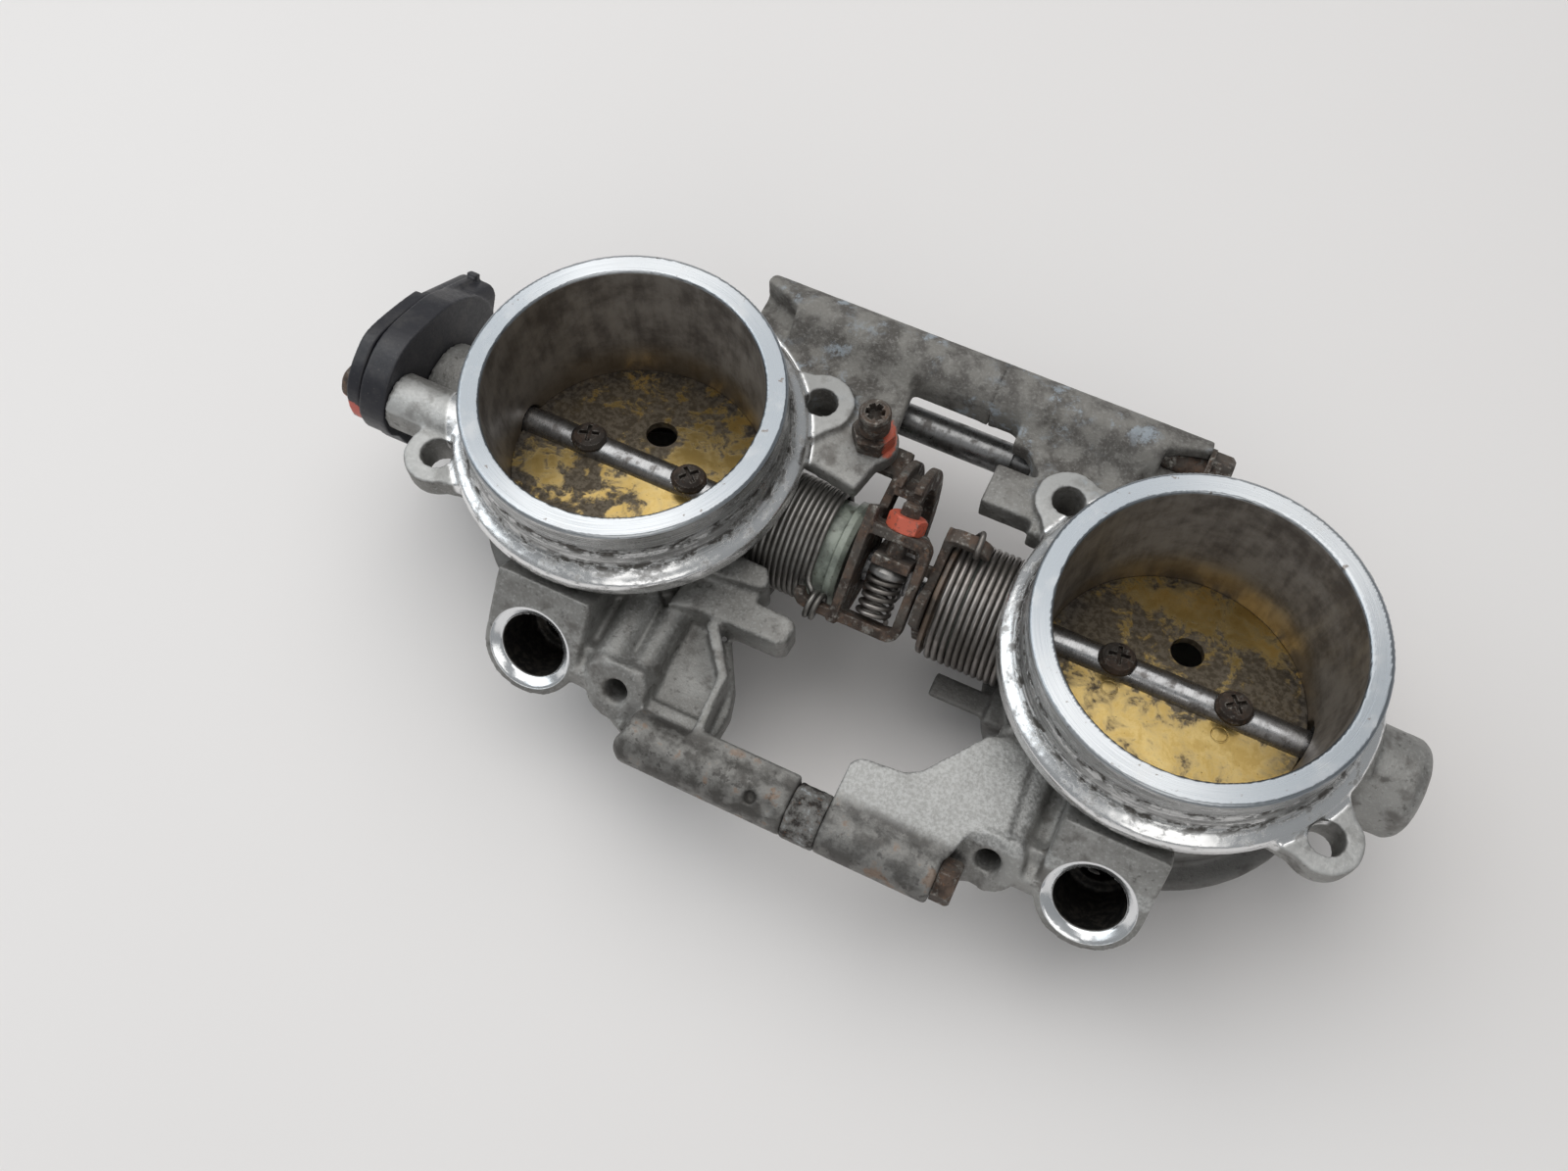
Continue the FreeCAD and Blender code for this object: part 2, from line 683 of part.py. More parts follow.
def right_back():
    """Raised pad beside the back lug, webs, right half of the rail and tube socket."""
    raised = 6.4
    return [
        box(18.0, 9.6, raised, (MID + 10.9, 15.7, WEB_TOP - raised)),
        box(9.0, 9.9, raised, (MID + 22.0, 13.0, WEB_TOP - raised)),
        pad(RIGHT_WEB, dims.web_thick, (MID, 0, -(dims.web_deep + dims.web_thick + 0.2))),
        pad(RIGHT_GUSSET, 9.0, (MID, 0, WEB_TOP - 9.0)),
        *rail(MID + 5.0, dims.rail_half - 5.0),
        pad(RIGHT_SLOPE, 26.0, (MID + 12.0, 0, 0), SIDE_ON),
        *tube_socket(RIGHT, -1),
    ]


def right_front():
    """Right half of the tie bar, the web and ribs behind it, and the finger."""
    return [
        x_cyl(dims.bar_rad, 23.6, on_bar(MID + 9.0)),
        box(23.6, 8.6, 9.0, (MID + 9.0, BAR_Y, -34.8)),
        # flat web, two round ribs, block and floor
        pad(FRONT_WEB, 3.6, (MID, 0, -29.4)),
        cyl(3.2, 26.0, (MID + 35.6, -47.6, -29.4), TO_BACK),
        cyl(3.6, 24.0, (MID + 42.4, -45.6, -30.2), TO_BACK),
        box(18.6, 24.0, 6.8, (MID + 32.4, -48.4, RIB_BOTTOM)),
        pad(RIGHT_FLOOR, FLOOR_THICK, (MID, 0, FLOOR_BOTTOM)),
        # finger under the right spring, and its root
        box(24.0, 5.4, 4.6, (MID + 15.4, -16.4, -48.2)),
        box(8.0, 9.0, 7.7, (MID + 28.0, -18.0, -49.5)),
    ]


def right_housing():
    solid = fuse(shared_parts(RIGHT, -1) + right_shaft_bosses() + right_back() + right_front())
    return cut(
        solid, *shared_cuts(RIGHT, -1, thread_deep=12.9),
        x_cyl(dims.shaft_rad + 0.4, 95.0, on_shaft(MID + 8)),
        cyl(dims.bush_rad, dims.bush_len + SEAT_RUNOUT,
            on_shaft(MID + dims.hub_end + dims.bush_len + 2), TO_LEFT),
        x_cyl(5.4, 8.0, on_bar(MID + 32.5)),            # room for the bolt head
        # relief for the return spring under the ring flange
        cut(x_cyl(13.8, 8.6, on_shaft(RIGHT - 40.0)), x_cyl(11.3, 20, on_shaft(RIGHT - 45.0))),
        x_cyl(dims.bush_rad, dims.bush_len + 9.0, on_shaft(RIGHT + 26.0)),
        *rail_cuts(MID + 4.0, MID + 7.0),
        x_cyl(dims.bar_bolt + 0.3, 60.0, on_bar(MID + 8.0)),
        *tube_socket_bore(RIGHT, -1),
        hose_clearance(RIGHT, RIGHT - 19.4))


piece("right_housing", right_housing())

# ---------------------------------------------------------------- ties and balance tube
BOLT_FLATS = 8.0
WASHER_X = MID + dims.rail_half + 0.01      # on the rail's right end


def front_collar():
    wide, narrow = dims.bar_rad + 0.1, dims.bar_rad - 0.2
    profile = [(0, 0), (narrow, 0), (wide, 0.4), (wide, 6.6), (narrow, 7.0), (0, 7.0)]
    return cut(revolve(profile, on_bar(MID + 2.0), TO_RIGHT),
               x_cyl(dims.bar_bolt + 0.3, 12, on_bar(MID)))


def hex_bolt(head, radius, length):
    """Head on the +Z side of the origin, shank along -Z."""
    wide = BOLT_FLATS / math.sqrt(3) + 0.2
    dome = [(0, -0.1), (wide, -0.1), (wide, head * 0.75), (BOLT_FLATS / 2 - 0.1, head),
            (0, head)]
    return fuse([common(pad(hexagon(BOLT_FLATS), head), revolve(dome)),
                 cyl(radius, length, (0, 0, -length))])


def rear_washer():
    return cut(x_cyl(4.9, 1.0, on_rail(WASHER_X)),
               x_cyl(dims.rail_bolt + 0.15, 3, on_rail(MID + dims.rail_half - 1)))


def balance_tube():
    """Tube with a sleeve in the middle, and an O-ring groove in each end collar."""
    tube = fuse([x_cyl(dims.tube_rad, 25.4, on_tube(MID - 13.0)),
                 x_cyl(2.7, 43.0, on_tube(MID - 22.0)),
                 x_cyl(3.3, 3.6, on_tube(MID - 25.6)),
                 x_cyl(3.3, 3.6, on_tube(MID + 21.0))])
    return cut(tube, x_cyl(1.7, 60.0, on_tube(MID - 30.0)),
               cut(x_cyl(4, 1.2, on_tube(MID - 24.4)), x_cyl(2.6, 3, on_tube(MID - 25))),
               cut(x_cyl(4, 1.2, on_tube(MID + 22.2)), x_cyl(2.6, 3, on_tube(MID + 22))))


piece("front_tie_collar", front_collar())
piece("front_tie_bolt",
      place(hex_bolt(4.0, dims.bar_bolt, 60.0), on_bar(MID + 32.6), TO_RIGHT))
piece("rear_tie_bolt",
      place(hex_bolt(4.2, dims.rail_bolt, 72.0), on_rail(WASHER_X + 1.01), TO_RIGHT))
piece("rear_tie_washer", rear_washer())
piece("balance_tube", balance_tube())
piece("balance_tube_orings",
      group([x_ring(3.21, 0.56, on_tube(MID + x)) for x in (-23.8, 22.8)]))


# ---------------------------------------------------------------- shaft bushes and seals
def bush(x, inward):
    return cut(cyl(dims.bush_rad, dims.bush_len, on_shaft(x), INWARD[inward]),
               x_cyl(dims.bush_bore, 30, on_shaft(x - 15)))


def seal(x):
    return cut(x_cyl(dims.bush_rad, 1.8, on_shaft(x)),
               x_cyl(dims.bush_bore + 0.02, 4, on_shaft(x - 1)))


piece("left_shaft_bushes",
      group([bush(SEAT_X + 2.0, 1), bush(MID - dims.hub_end - 2.0, -1)]))
piece("right_shaft_bushes",
      group([bush(MID + dims.hub_end + 2.0, 1), bush(RIGHT + 31.0, 1)]))
piece("shaft_seals", group([seal(MID - dims.hub_end - 1.9), seal(MID + dims.hub_end + 0.1)]))


# ---------------------------------------------------------------- shafts, plates, screws
def at_plate_screw(bore_x, side, z):
    return offset(on_shaft(bore_x + dims.screw_gap * side), PLATE_TILT, (0, 0, z))


def shaft(start_x, end_x, bore_x, flats=()):
    """Chamfered shaft, slotted for its plate, with seats and holes for two screws."""
    radius, length, edge = dims.shaft_rad, end_x - start_x, 0.3
    blank = revolve([(0, 0), (radius - edge, 0), (radius, edge), (radius, length - edge),
                     (radius - edge, length), (0, length)], on_shaft(start_x), TO_RIGHT)
    slot = dims.plate_thick + 0.1
    corner = offset(on_shaft(bore_x - dims.bore_rad - 0.6), PLATE_TILT,
                    (0, -5, -slot.value / 2))
    tools = [box(2 * dims.bore_rad + 1.2, 10, slot, corner, PLATE_TILT)]
    for side in (-1, 1):
        tools.append(cyl(3.95, 3.0, at_plate_screw(bore_x, side, 2.65), PLATE_TILT))
        tools.append(cyl(1.95, 12.0, at_plate_screw(bore_x, side, -6.0), PLATE_TILT))
    return cut(blank, *tools, *flats)


def left_shaft():
    """The left end has two flats that turn the sensor's rotor."""
    flats = [box(6.0, 12, 4, (SEAT_X - 5.6, -6, SHAFT_Z + z)) for z in (1.3, -5.3)]
    return shaft(SEAT_X - 5.0, MID + 3.2, LEFT, flats)


def throttle_plate(bore_x, marks=()):
    """Tilted slab trimmed by the bore; `marks` are X places of ring marks on top."""
    half = dims.plate_thick.value / 2
    centre = on_shaft(bore_x)
    slab = box(80, 80, dims.plate_thick, offset(centre, PLATE_TILT, (-40, -40, -half)),
               PLATE_TILT)
    disc = common(slab, cyl(dims.plate_rad, 30, (bore_x, 0, SHAFT_Z - 15)))
    hole_at = offset(centre, PLATE_TILT, (0.35, 9.75, -5))
    tools = [cyl(dims.plate_hole, 10, hole_at, PLATE_TILT)]
    for side in (-1, 1):
        tools.append(cyl(2.1, 10.0, at_plate_screw(bore_x, side, -5.0), PLATE_TILT))
    for mark in marks:
        x, y, z = offset(centre, PLATE_TILT, (mark, -5.6, half - 0.12))
        tools.append(cut(cyl(1.75, 0.4, (x, y, z), PLATE_TILT),
                         cyl(1.5, 2, (x, y, z - 0.5), PLATE_TILT)))
    return cut(disc, *tools)


def plate_screw(bore_x, side, spin):
    """Pan head with a cross recess, and a plain stem."""
    long, wide = 4.4, 0.9       # arms of the cross
    head = revolve([(0, -0.02), (3.75, -0.02), (3.78, 0.7), (3.2, 1.6), (2.0, 2.15), (0, 2.3)])
    cross = [box(long, wide, 2.0, (-long / 2, -wide / 2, 1.1)),
             box(wide, long, 2.0, (-wide / 2, -long / 2, 1.1))]
    screw = fuse([cut(head, *cross), cyl(1.9, 7.4, (0, 0, -7.3))])
    return place(screw, at_plate_screw(bore_x, side, 2.7),
                 PLATE_TILT.multiply(Rotation(Vector(0, 0, 1), spin)))


piece("left_shaft", left_shaft())
piece("right_shaft", shaft(MID + 5.2, RIGHT + 43.0, RIGHT))
piece("left_throttle_plate", throttle_plate(LEFT))
piece("right_throttle_plate", throttle_plate(RIGHT, marks=(-11.4, 11.4)))
piece("left_plate_screws", group([plate_screw(LEFT, -1, 20), plate_screw(LEFT, 1, 50)]))
piece("right_plate_screws", group([plate_screw(RIGHT, -1, 10), plate_screw(RIGHT, 1, 35)]))

# ---------------------------------------------------------------- middle levers
SHAFT_FIT = dims.shaft_rad + 0.02       # bore of everything pressed on a shaft
# (y, z) outlines from the shaft axis
LEFT_CHEEK = [(3.2, 20.0), (-1.9, 17.4), (-17.2, 4.4), (-14.4, 0.4), (-8.4, -5.6),
              (0, -8.6), (7.4, -5.0), (9.4, 2.0), (22.6, 6.6), (23.2, 9.0), (20.6, 10.2),
              (9.0, 9.6)]
RIGHT_CHEEK = [(-9.6, 13.6), (-12.6, 8.6), (-9.5, 0), (-7.6, -9.6), (0, -12.2),
               (7.6, -8.0), (9.8, 0), (11.0, 8.4), (8.8, 12.6), (8.0, 14.4), (4.6, 14.4),
               (3.0, 12.4), (-3.0, 10.2)]
# (x, y) outlines in the window frame: a strap bent into an open box, its tab and its ear
STRAP = ([(-8.0, 11.0), (-8.0, -11.0)] + arc(4.2, -8.2, 2.8, -90, 0)
         + arc(4.2, 8.2, 2.8, 0, 90))
STRAP_OPENING = (arc(-5.2, -8.0, 0.8, 180, 270, 3) + arc(4.2, -8.0, 0.8, 270, 360, 3)
                 + arc(4.2, 8.0, 0.8, 0, 90, 3) + arc(-5.2, 8.0, 0.8, 90, 180, 3))
STRAP_TAB = [(-8.0, 8.8), (4.6, 8.8), (5.6, 10.0), (4.6, 11.0), (-8.0, 11.0)]
SPRING_EAR = [(-6.2, -10.9), (-12.6, -10.9), (-14.6, -10.5), (-16.0, -9.2),
              (-16.2, -7.6), (-14.6, -7.2), (-13.8, -8.6), (-12.4, -8.9), (-6.2, -8.9)]
# (x, z) outline of the right spring's hook, from the middle and the shaft axis
SPRING_HOOK = [(7.7, 10.6), (7.7, 13.0), (8.1, 14.2), (8.9, 15.0), (10.0, 15.5),
               (11.4, 15.65), (13.6, 15.6), (15.2, 15.3), (16.5, 14.6), (17.3, 13.6),
               (17.5, 12.7), (15.9, 12.7), (15.5, 13.3), (14.4, 13.7), (11.6, 13.8),
               (10.4, 13.5), (9.8, 12.7), (9.7, 10.6)]
# (radius, degrees) points round the cable end of the quadrant's rim
RIM_END = [(23.3, 67.2), (22.4, 68.8), (21.0, 69.0), (19.6, 66.6)]
SYNC_Z = -1.0                           # adjusting screw's axis in the window frame
UP_SCREW = WINDOW_TILT.multiply(TO_BACK)


def on_sync(y):
    return in_window(0, y, SYNC_Z)


def left_lever():
    solid = fuse([
        pad(LEFT_CHEEK, dims.sheet_thick, on_shaft(MID - 8.0), SIDE_ON),
        box(10.6, 6.6, 2.0, (MID - 17.0, 16.2, -23.1)),     # tab at the idle stop
        pad(STRAP, 4.6, in_window(0, 0, -2.4), WINDOW_TILT, openings=[STRAP_OPENING]),
        pad(STRAP_TAB, 6.6, in_window(0, 0, -4.2), WINDOW_TILT),
        pad(SPRING_EAR, 3.0, in_window(0, 0, -0.2), WINDOW_TILT),
        x_cyl(5.2, 2.6, on_shaft(MID - 9.4)),
    ])
    return cut(solid, x_cyl(SHAFT_FIT, 12, on_shaft(MID - 12)),
               cyl(2.04, 6.0, on_sync(7.0), UP_SCREW))


def cable_quadrant():
    """Web on the shaft, with a grooved rim up to its cable end."""
    rim = (arc(0, 0, dims.quad_rad.value, -75, 65, 24) + [polar(*end) for end in RIM_END]
           + arc(0, 0, 19.2, 63, -75, 20))
    web = arc(0, 0, 20.6, -75, 34, 12) + [(6.4, 8.6), (-1.4, 6.1), (-6.0, -2.0), (0.5, -7.5)]
    solid = fuse([pad(rim, 6.0, on_shaft(MID - 5.2), SIDE_ON),
                  pad(web, 2.0, on_shaft(MID - 3.2), SIDE_ON),
                  x_cyl(6.2, 5.0, on_shaft(MID - 4.7))])
    groove = cut(x_cyl(25.0, 2.4, on_shaft(MID - 3.4)), x_cyl(20.9, 8, on_shaft(MID - 6)))
    cable_hole = x_cyl(1.5, 9, (MID - 6.6, 8.1, SHAFT_Z + 19.3))
    return cut(solid, groove, x_cyl(SHAFT_FIT, 12, on_shaft(MID - 8)), cable_hole)


def shaft_collar():
    profile = [(0, 0), (5.0, 0), (5.4, 0.4), (5.4, 1.9), (4.4, 2.3), (0, 2.3)]
    return cut(revolve(profile, on_shaft(MID + 0.4), TO_RIGHT),
               x_cyl(SHAFT_FIT, 8, on_shaft(MID - 1)))


def right_lever():
    """Cheek, tongue through the window, and the hook for the right spring."""
    low, thick = -4.7, 2.2      # tongue: bottom and thickness
    tongue = fuse([box(4.4, thick, 2.1, in_window(4.2, 3.4, low), WINDOW_TILT),
                   box(7.9, thick, 7.7, in_window(-3.6, 3.4, low), WINDOW_TILT)])
    solid = fuse([pad(RIGHT_CHEEK, dims.sheet_thick, on_shaft(MID + 7.7), SIDE_ON), tongue,
                  pad(SPRING_HOOK, 3.2, (MID, 7.8, SHAFT_Z), tilt_x(90))])
    return cut(solid, x_cyl(SHAFT_FIT, 12, on_shaft(MID + 2)))


def sync_screw():
    radius, start, length = 1.98, 5.63, 10.62
    return fuse([cyl(radius, length, on_sync(start), UP_SCREW),
                 cone(radius, 1.5, 0.5, on_sync(start + length), UP_SCREW)])


def hex_nut(flats, thick, bore):
    """Nut standing on the origin, its corners broken at both ends."""
    wide = flats / math.sqrt(3) + 0.05
    blank = common(pad(hexagon(flats), thick),
                   revolve([(0, -0.05), (flats / 2, -0.05), (wide, 0.45), (wide, thick - 0.45),
                            (flats / 2, thick + 0.05), (0, thick + 0.05)]))
    return cut(blank, cyl(bore, thick + 2, (0, 0, -1)))


def sync_cup():
    profile = [(0, 0), (3.7, 0), (3.95, 0.3), (3.95, 1.2), (3.2, 2.25), (0, 2.25)]
    return cut(revolve(profile, on_sync(1.12), UP_SCREW),
               cyl(1.6, 1.2, on_sync(0.8), UP_SCREW))


piece("left_lever", left_lever())
piece("cable_quadrant", cable_quadrant())
piece("left_shaft_collar", shaft_collar())
piece("right_lever", right_lever())
piece("sync_screw", sync_screw())
piece("sync_locknut", place(hex_nut(7.0, 3.2, 2.02), on_sync(11.02),
                            UP_SCREW.multiply(Rotation(Vector(0, 0, 1), 12))))
piece("sync_spring_cup", sync_cup())
piece("sync_spring", place(coil(3.15, 0.52, pitch=1.76, height=8.8), on_sync(-8.24), UP_SCREW))


# ---------------------------------------------------------------- return springs and bushes
def spring_bush(profile, start_x, bore_x):
    return cut(revolve(profile, on_shaft(start_x), TO_RIGHT),
               x_cyl(dims.hub_rad + 0.05, 60, on_shaft(bore_x)))


# (radius, x from the bush's left end)
LEFT_BUSH = [(0, 0), (10.7, 0), (10.7, 12.9), (11.7, 13.3), (11.7, 14.6), (10.8, 15.6),
             (0, 15.6)]
RIGHT_BUSH = [(0, 0), (12.6, 0), (12.9, 0.3), (12.9, 1.0), (11.2, 1.3), (11.2, 14.8),
              (0, 14.8)]

left_coil = coil(dims.coil_rad_left, dims.wire_left, pitch=1.39, height=13.9)
right_coil = coil(dims.coil_rad_right, dims.wire_right, pitch=1.50, height=15.0)
piece("left_return_spring", place(left_coil, on_shaft(MID - 27.9), TO_RIGHT))
piece("right_return_spring", place(right_coil, on_shaft(MID + 12.3), TO_RIGHT))
piece("left_spring_bush", spring_bush(LEFT_BUSH, MID - 24.8, MID - 50))
piece("right_spring_bush", spring_bush(RIGHT_BUSH, MID + 10.1, MID))


# ---------------------------------------------------------------- idle stop
def idle_stop_screw():
    """Round head with a six-armed star recess."""
    head = [(0, 0), (3.1, 0), (3.3, 0.3), (3.3, 5.2), (2.9, 5.7), (0, 5.7)]
    solid = fuse([cyl(dims.stop_rad, 15.6, (STOP_X, STOP_Y, -21.05)),
                  revolve(head, (STOP_X, STOP_Y, -10.9))])
    long, wide = 3.9, 1.3
    star = []
    for i in range(3):
        spin = Rotation(Vector(0, 0, 1), 60 * i + 15)
        corner = offset((STOP_X, STOP_Y, -7.4), spin, (-long / 2, -wide / 2, 0))
        star.append(box(long, wide, 2.6, corner, spin))
    return cut(solid, *star)


piece("idle_stop_screw", idle_stop_screw())
piece("idle_stop_locknut", place(hex_nut(8.0, 4.0, 2.54), (STOP_X, STOP_Y, WEB_TOP + 0.02),
                                 Rotation(Vector(0, 0, 1), 8)))

# ---------------------------------------------------------------- throttle position sensor
CASE_THICK = dims.sensor_thick - 3.4
CASE_X = -(dims.sensor_face + 0.1) - CASE_THICK     # outboard face of the case
COVER_X = CASE_X - 3.2                              # outboard face of the cover
PORT_X = SEAT_X - 5.4                               # connector axis
# (y, z) points from the shaft axis, joined by smooth curves
CASE = [(-19.4, 8.6), (-19.6, 13.6), (-17.6, 17.6), (-14.8, 20.6), (-11.6, 22.4),
        (-8.0, 23.6), (-3.4, 23.4), (3.0, 21.4), (10.2, 18.2), (17.6, 11.6), (20.4, 4.0),
        (20.6, -6.0), (19.4, -13.4), (16.6, -18.4), (12.4, -19.6), (7.4, -17.4),
        (3.0, -14.4), (-6.0, -14.0), (-12.0, -9.0), (-16.4, 0.0), (-17.6, 5.0)]
COVER = [(-18.8, 9.6), (-18.6, 14.0), (-17.2, 17.8), (-14.4, 20.8), (-11.4, 22.6),
         (-6.8, 24.0), (-0.2, 22.2), (8.9, 18.3), (10.6, 16.4), (14.6, 9.6), (17.0, 2.0),
         (17.2, -9.0), (15.6, -16.6), (12.0, -18.4), (8.0, -16.4), (3.0, -13.2),
         (-5.6, -12.8), (-11.2, -8.2), (-15.4, 0.6), (-17.0, 6.0)]
# connector cross-sections, from its axis
PORT = (arc(2.6, -2.5, 2.5, -90, 0, 4) + arc(2.6, 3.6, 2.6, 0, 90, 4)
        + arc(-2.6, 3.6, 2.6, 90, 180, 4) + arc(-2.6, -2.5, 2.5, 180, 270, 4))
PORT_OPENING = [(-2.6, -4.0), (2.6, -4.0), (4.0, -2.8), (4.0, 3.8), (2.6, 5.2),
                (-2.6, 5.2), (-4.0, 3.8), (-4.0, -2.8)]
PORT_ROOM = [(-5.3, -6.3), (5.3, -6.3), (5.3, 6.3), (-5.3, 6.3)]


def along_port(x, out, y=0, z=0):
    """A point `out` along the connector, from its root moved by y and z."""
    return offset((x, 8.5 + y, SHAFT_Z + 11.7 + z), PORT_TILT, (0, 0, out))


def sensor_screw_holes(start_x):
    return [x_cyl(2.2, 20, at_sensor_screw(start_x, side)) for side in (-1, 1)]


def tps_pins():
    return [box(0.8, 7.0, 0.8, along_port(SEAT_X - 5.8 + 2.4 * i, 6.6), PORT_SIDE_TILT)
            for i in (-1, 0, 1)]


def tps_housing(pins):
    case = pad(smooth(CASE), CASE_THICK, on_shaft(CASE_X), SIDE_ON)
    port = pad(PORT, 16.0, along_port(PORT_X, 0), PORT_TILT)
    opening = pad(PORT_OPENING, 10.0, along_port(PORT_X, 8.0), PORT_TILT)
    latch = fuse([
        box(1.8, 12.5, 1.6, along_port(SEAT_X - 6.6, 3.6, y=2.4, z=3.5), PORT_SIDE_TILT),
        box(2.6, 1.8, 2.4, along_port(SEAT_X - 7.0, 13.6, y=2.4, z=3.5), PORT_SIDE_TILT),
    ])
    collar = cut(x_cyl(7.4, 1.9, on_shaft(SEAT_X - 0.2)), x_cyl(5.4, 9, on_shaft(SEAT_X - 2)))
    return cut(fuse([case, port, latch, collar]), opening,
               x_cyl(9.6, 5.2, on_shaft(SEAT_X - 5.8)),     # room for the rotor
               x_cyl(5.2, 6.0, on_shaft(SEAT_X - 3.0)),
               *pins, *sensor_screw_holes(SEAT_X - 14))


def tps_cover():
    """Outer plate, cut away around the connector and its latch."""
    cover = pad(smooth(COVER), 3.1, on_shaft(COVER_X), SIDE_ON)
    room = fuse([
        pad(PORT_ROOM, 22.0, along_port(PORT_X, -2.0), PORT_TILT),
        box(10.6, 20.0, 3.0, along_port(SEAT_X - 10.7, 0, y=2.4, z=3.3), PORT_SIDE_TILT),
    ])
    return cut(cover, room, *sensor_screw_holes(SEAT_X - 20))


def tps_rotor():
    solid = fuse([x_cyl(9.0, 3.8, on_shaft(SEAT_X - 5.5)),
                  x_cyl(4.8, 5.0, on_shaft(SEAT_X - 3.0))])
    slot = box(8.0, 8.4, 2.8, (SEAT_X - 6.0, -4.2, SHAFT_Z - 1.4))
    return cut(solid, slot, x_cyl(3.62, 4.2, on_shaft(SEAT_X - 1.6)))


def tps_screw(side):
    head = revolve([(0, 0), (3.9, 0), (4.0, 0.8), (3.7, 2.0), (2.4, 2.9), (0, 3.1)],
                   at_sensor_screw(COVER_X - 0.84, side), TO_LEFT)
    x, y, z = at_sensor_screw(COVER_X - 4.4, side)
    long, wide = 4.6, 1.0       # arms of the cross
    cross = [box(2.2, long, wide, (x, y - long / 2, z - wide / 2)),
             box(2.2, wide, long, (x, y - wide / 2, z - long / 2))]
    return fuse([cut(head, *cross), x_cyl(1.95, 22.0, at_sensor_screw(COVER_X - 0.9, side))])


def tps_washer(side):
    return cut(x_cyl(4.6, 0.8, at_sensor_screw(COVER_X - 0.82, side)),
               x_cyl(2.1, 4, at_sensor_screw(COVER_X - 2, side)))


pins = tps_pins()
piece("tps_housing", tps_housing(pins))
piece("tps_cover", tps_cover())
piece("tps_rotor", tps_rotor())
piece("tps_seal", x_ring(6.5, 0.83, on_shaft(SEAT_X + 2.54)))
piece("tps_screws", group([tps_screw(side) for side in (-1, 1)]))
piece("tps_washers", group([tps_washer(side) for side in (-1, 1)]))
piece("tps_pins", group(pins))

# ---------------------------------------------------------------- checks and output
doc.recompute()
failed = [o.Label for o in doc.Objects if "Invalid" in o.State or "Error" in o.State]
if failed:
    raise SystemExit("failed objects: %s" % failed)
for obj in PIECES:
    if obj.Shape.isNull() or not obj.Shape.isValid() or not obj.Shape.Solids:
        raise SystemExit("bad shape: %s" % obj.Label)
os.makedirs("parts", exist_ok=True)
for obj in PIECES:
    obj.Shape.exportStep(os.path.join("parts", obj.Label + ".step"))
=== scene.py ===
"""A pair of throttle bodies side by side, on a pale floor.

Metres, +Z up. The two bores are vertical, at x = 0 (left) and x = BORE_GAP (right),
with their rims near z = 0. The valve shaft runs along x at z = SHAFT_Z. The front is -y,
where the injector sockets are.
"""
import bpy
import json
import math
import numpy as np
from mathutils import Matrix, Vector
from types import SimpleNamespace

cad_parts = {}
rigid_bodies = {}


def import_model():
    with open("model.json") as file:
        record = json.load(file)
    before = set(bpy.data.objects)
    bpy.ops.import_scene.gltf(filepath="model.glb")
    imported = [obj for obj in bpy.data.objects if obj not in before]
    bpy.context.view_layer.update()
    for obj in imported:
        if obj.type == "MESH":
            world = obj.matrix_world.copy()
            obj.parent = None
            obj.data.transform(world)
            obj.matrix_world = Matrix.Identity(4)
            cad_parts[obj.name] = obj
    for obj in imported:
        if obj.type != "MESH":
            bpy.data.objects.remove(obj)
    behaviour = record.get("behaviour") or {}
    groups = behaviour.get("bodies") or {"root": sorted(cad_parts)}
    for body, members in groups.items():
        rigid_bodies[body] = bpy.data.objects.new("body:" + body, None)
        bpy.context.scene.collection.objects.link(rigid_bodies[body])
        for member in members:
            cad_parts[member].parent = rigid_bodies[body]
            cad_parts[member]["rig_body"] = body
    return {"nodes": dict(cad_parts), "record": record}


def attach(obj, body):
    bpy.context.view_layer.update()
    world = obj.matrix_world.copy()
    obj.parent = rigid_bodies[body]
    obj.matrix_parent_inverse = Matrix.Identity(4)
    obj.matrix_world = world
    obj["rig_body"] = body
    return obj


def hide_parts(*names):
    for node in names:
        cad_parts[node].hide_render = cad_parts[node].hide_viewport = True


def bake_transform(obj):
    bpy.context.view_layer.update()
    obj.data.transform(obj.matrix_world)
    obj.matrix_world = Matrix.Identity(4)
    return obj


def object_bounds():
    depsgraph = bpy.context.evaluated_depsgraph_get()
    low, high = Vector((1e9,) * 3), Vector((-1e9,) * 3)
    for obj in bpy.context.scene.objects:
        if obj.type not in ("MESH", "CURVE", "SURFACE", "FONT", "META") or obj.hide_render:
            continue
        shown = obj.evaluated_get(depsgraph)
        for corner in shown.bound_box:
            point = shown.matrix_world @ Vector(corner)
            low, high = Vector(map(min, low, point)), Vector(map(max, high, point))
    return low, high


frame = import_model()
cad_lo, cad_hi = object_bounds()
nodes = frame["nodes"]
scene = bpy.context.scene

MM = 0.001
BORE_GAP = 0.120
MID = BORE_GAP / 2
SHAFT_Z = -0.0311

# injector sockets: mouth centre (y, z), and the slope of their axis, which leans to the front
SOCKET_Y, SOCKET_Z = -0.047, -0.030
SOCKET_COS, SOCKET_SIN = 0.766044, 0.642788

# rear rail, where the two castings meet
SEAM_X = MID + 0.005
RAIL_Y, RAIL_Z, RAIL_RADIUS = 0.041, -0.0162, 0.0061

# screw holes in the lugs, measured from the nearer bore's axis
LUG_HOLE_X, LUG_HOLE_Y = 0.0329, 0.0221


def socket_frame(y, z):
    """Distance out along the injector sockets' axis, and up across it."""
    from_y, from_z = y - SOCKET_Y, z - SOCKET_Z
    along = from_y * -SOCKET_COS + from_z * SOCKET_SIN
    across = from_y * SOCKET_SIN + from_z * SOCKET_COS
    return along, across


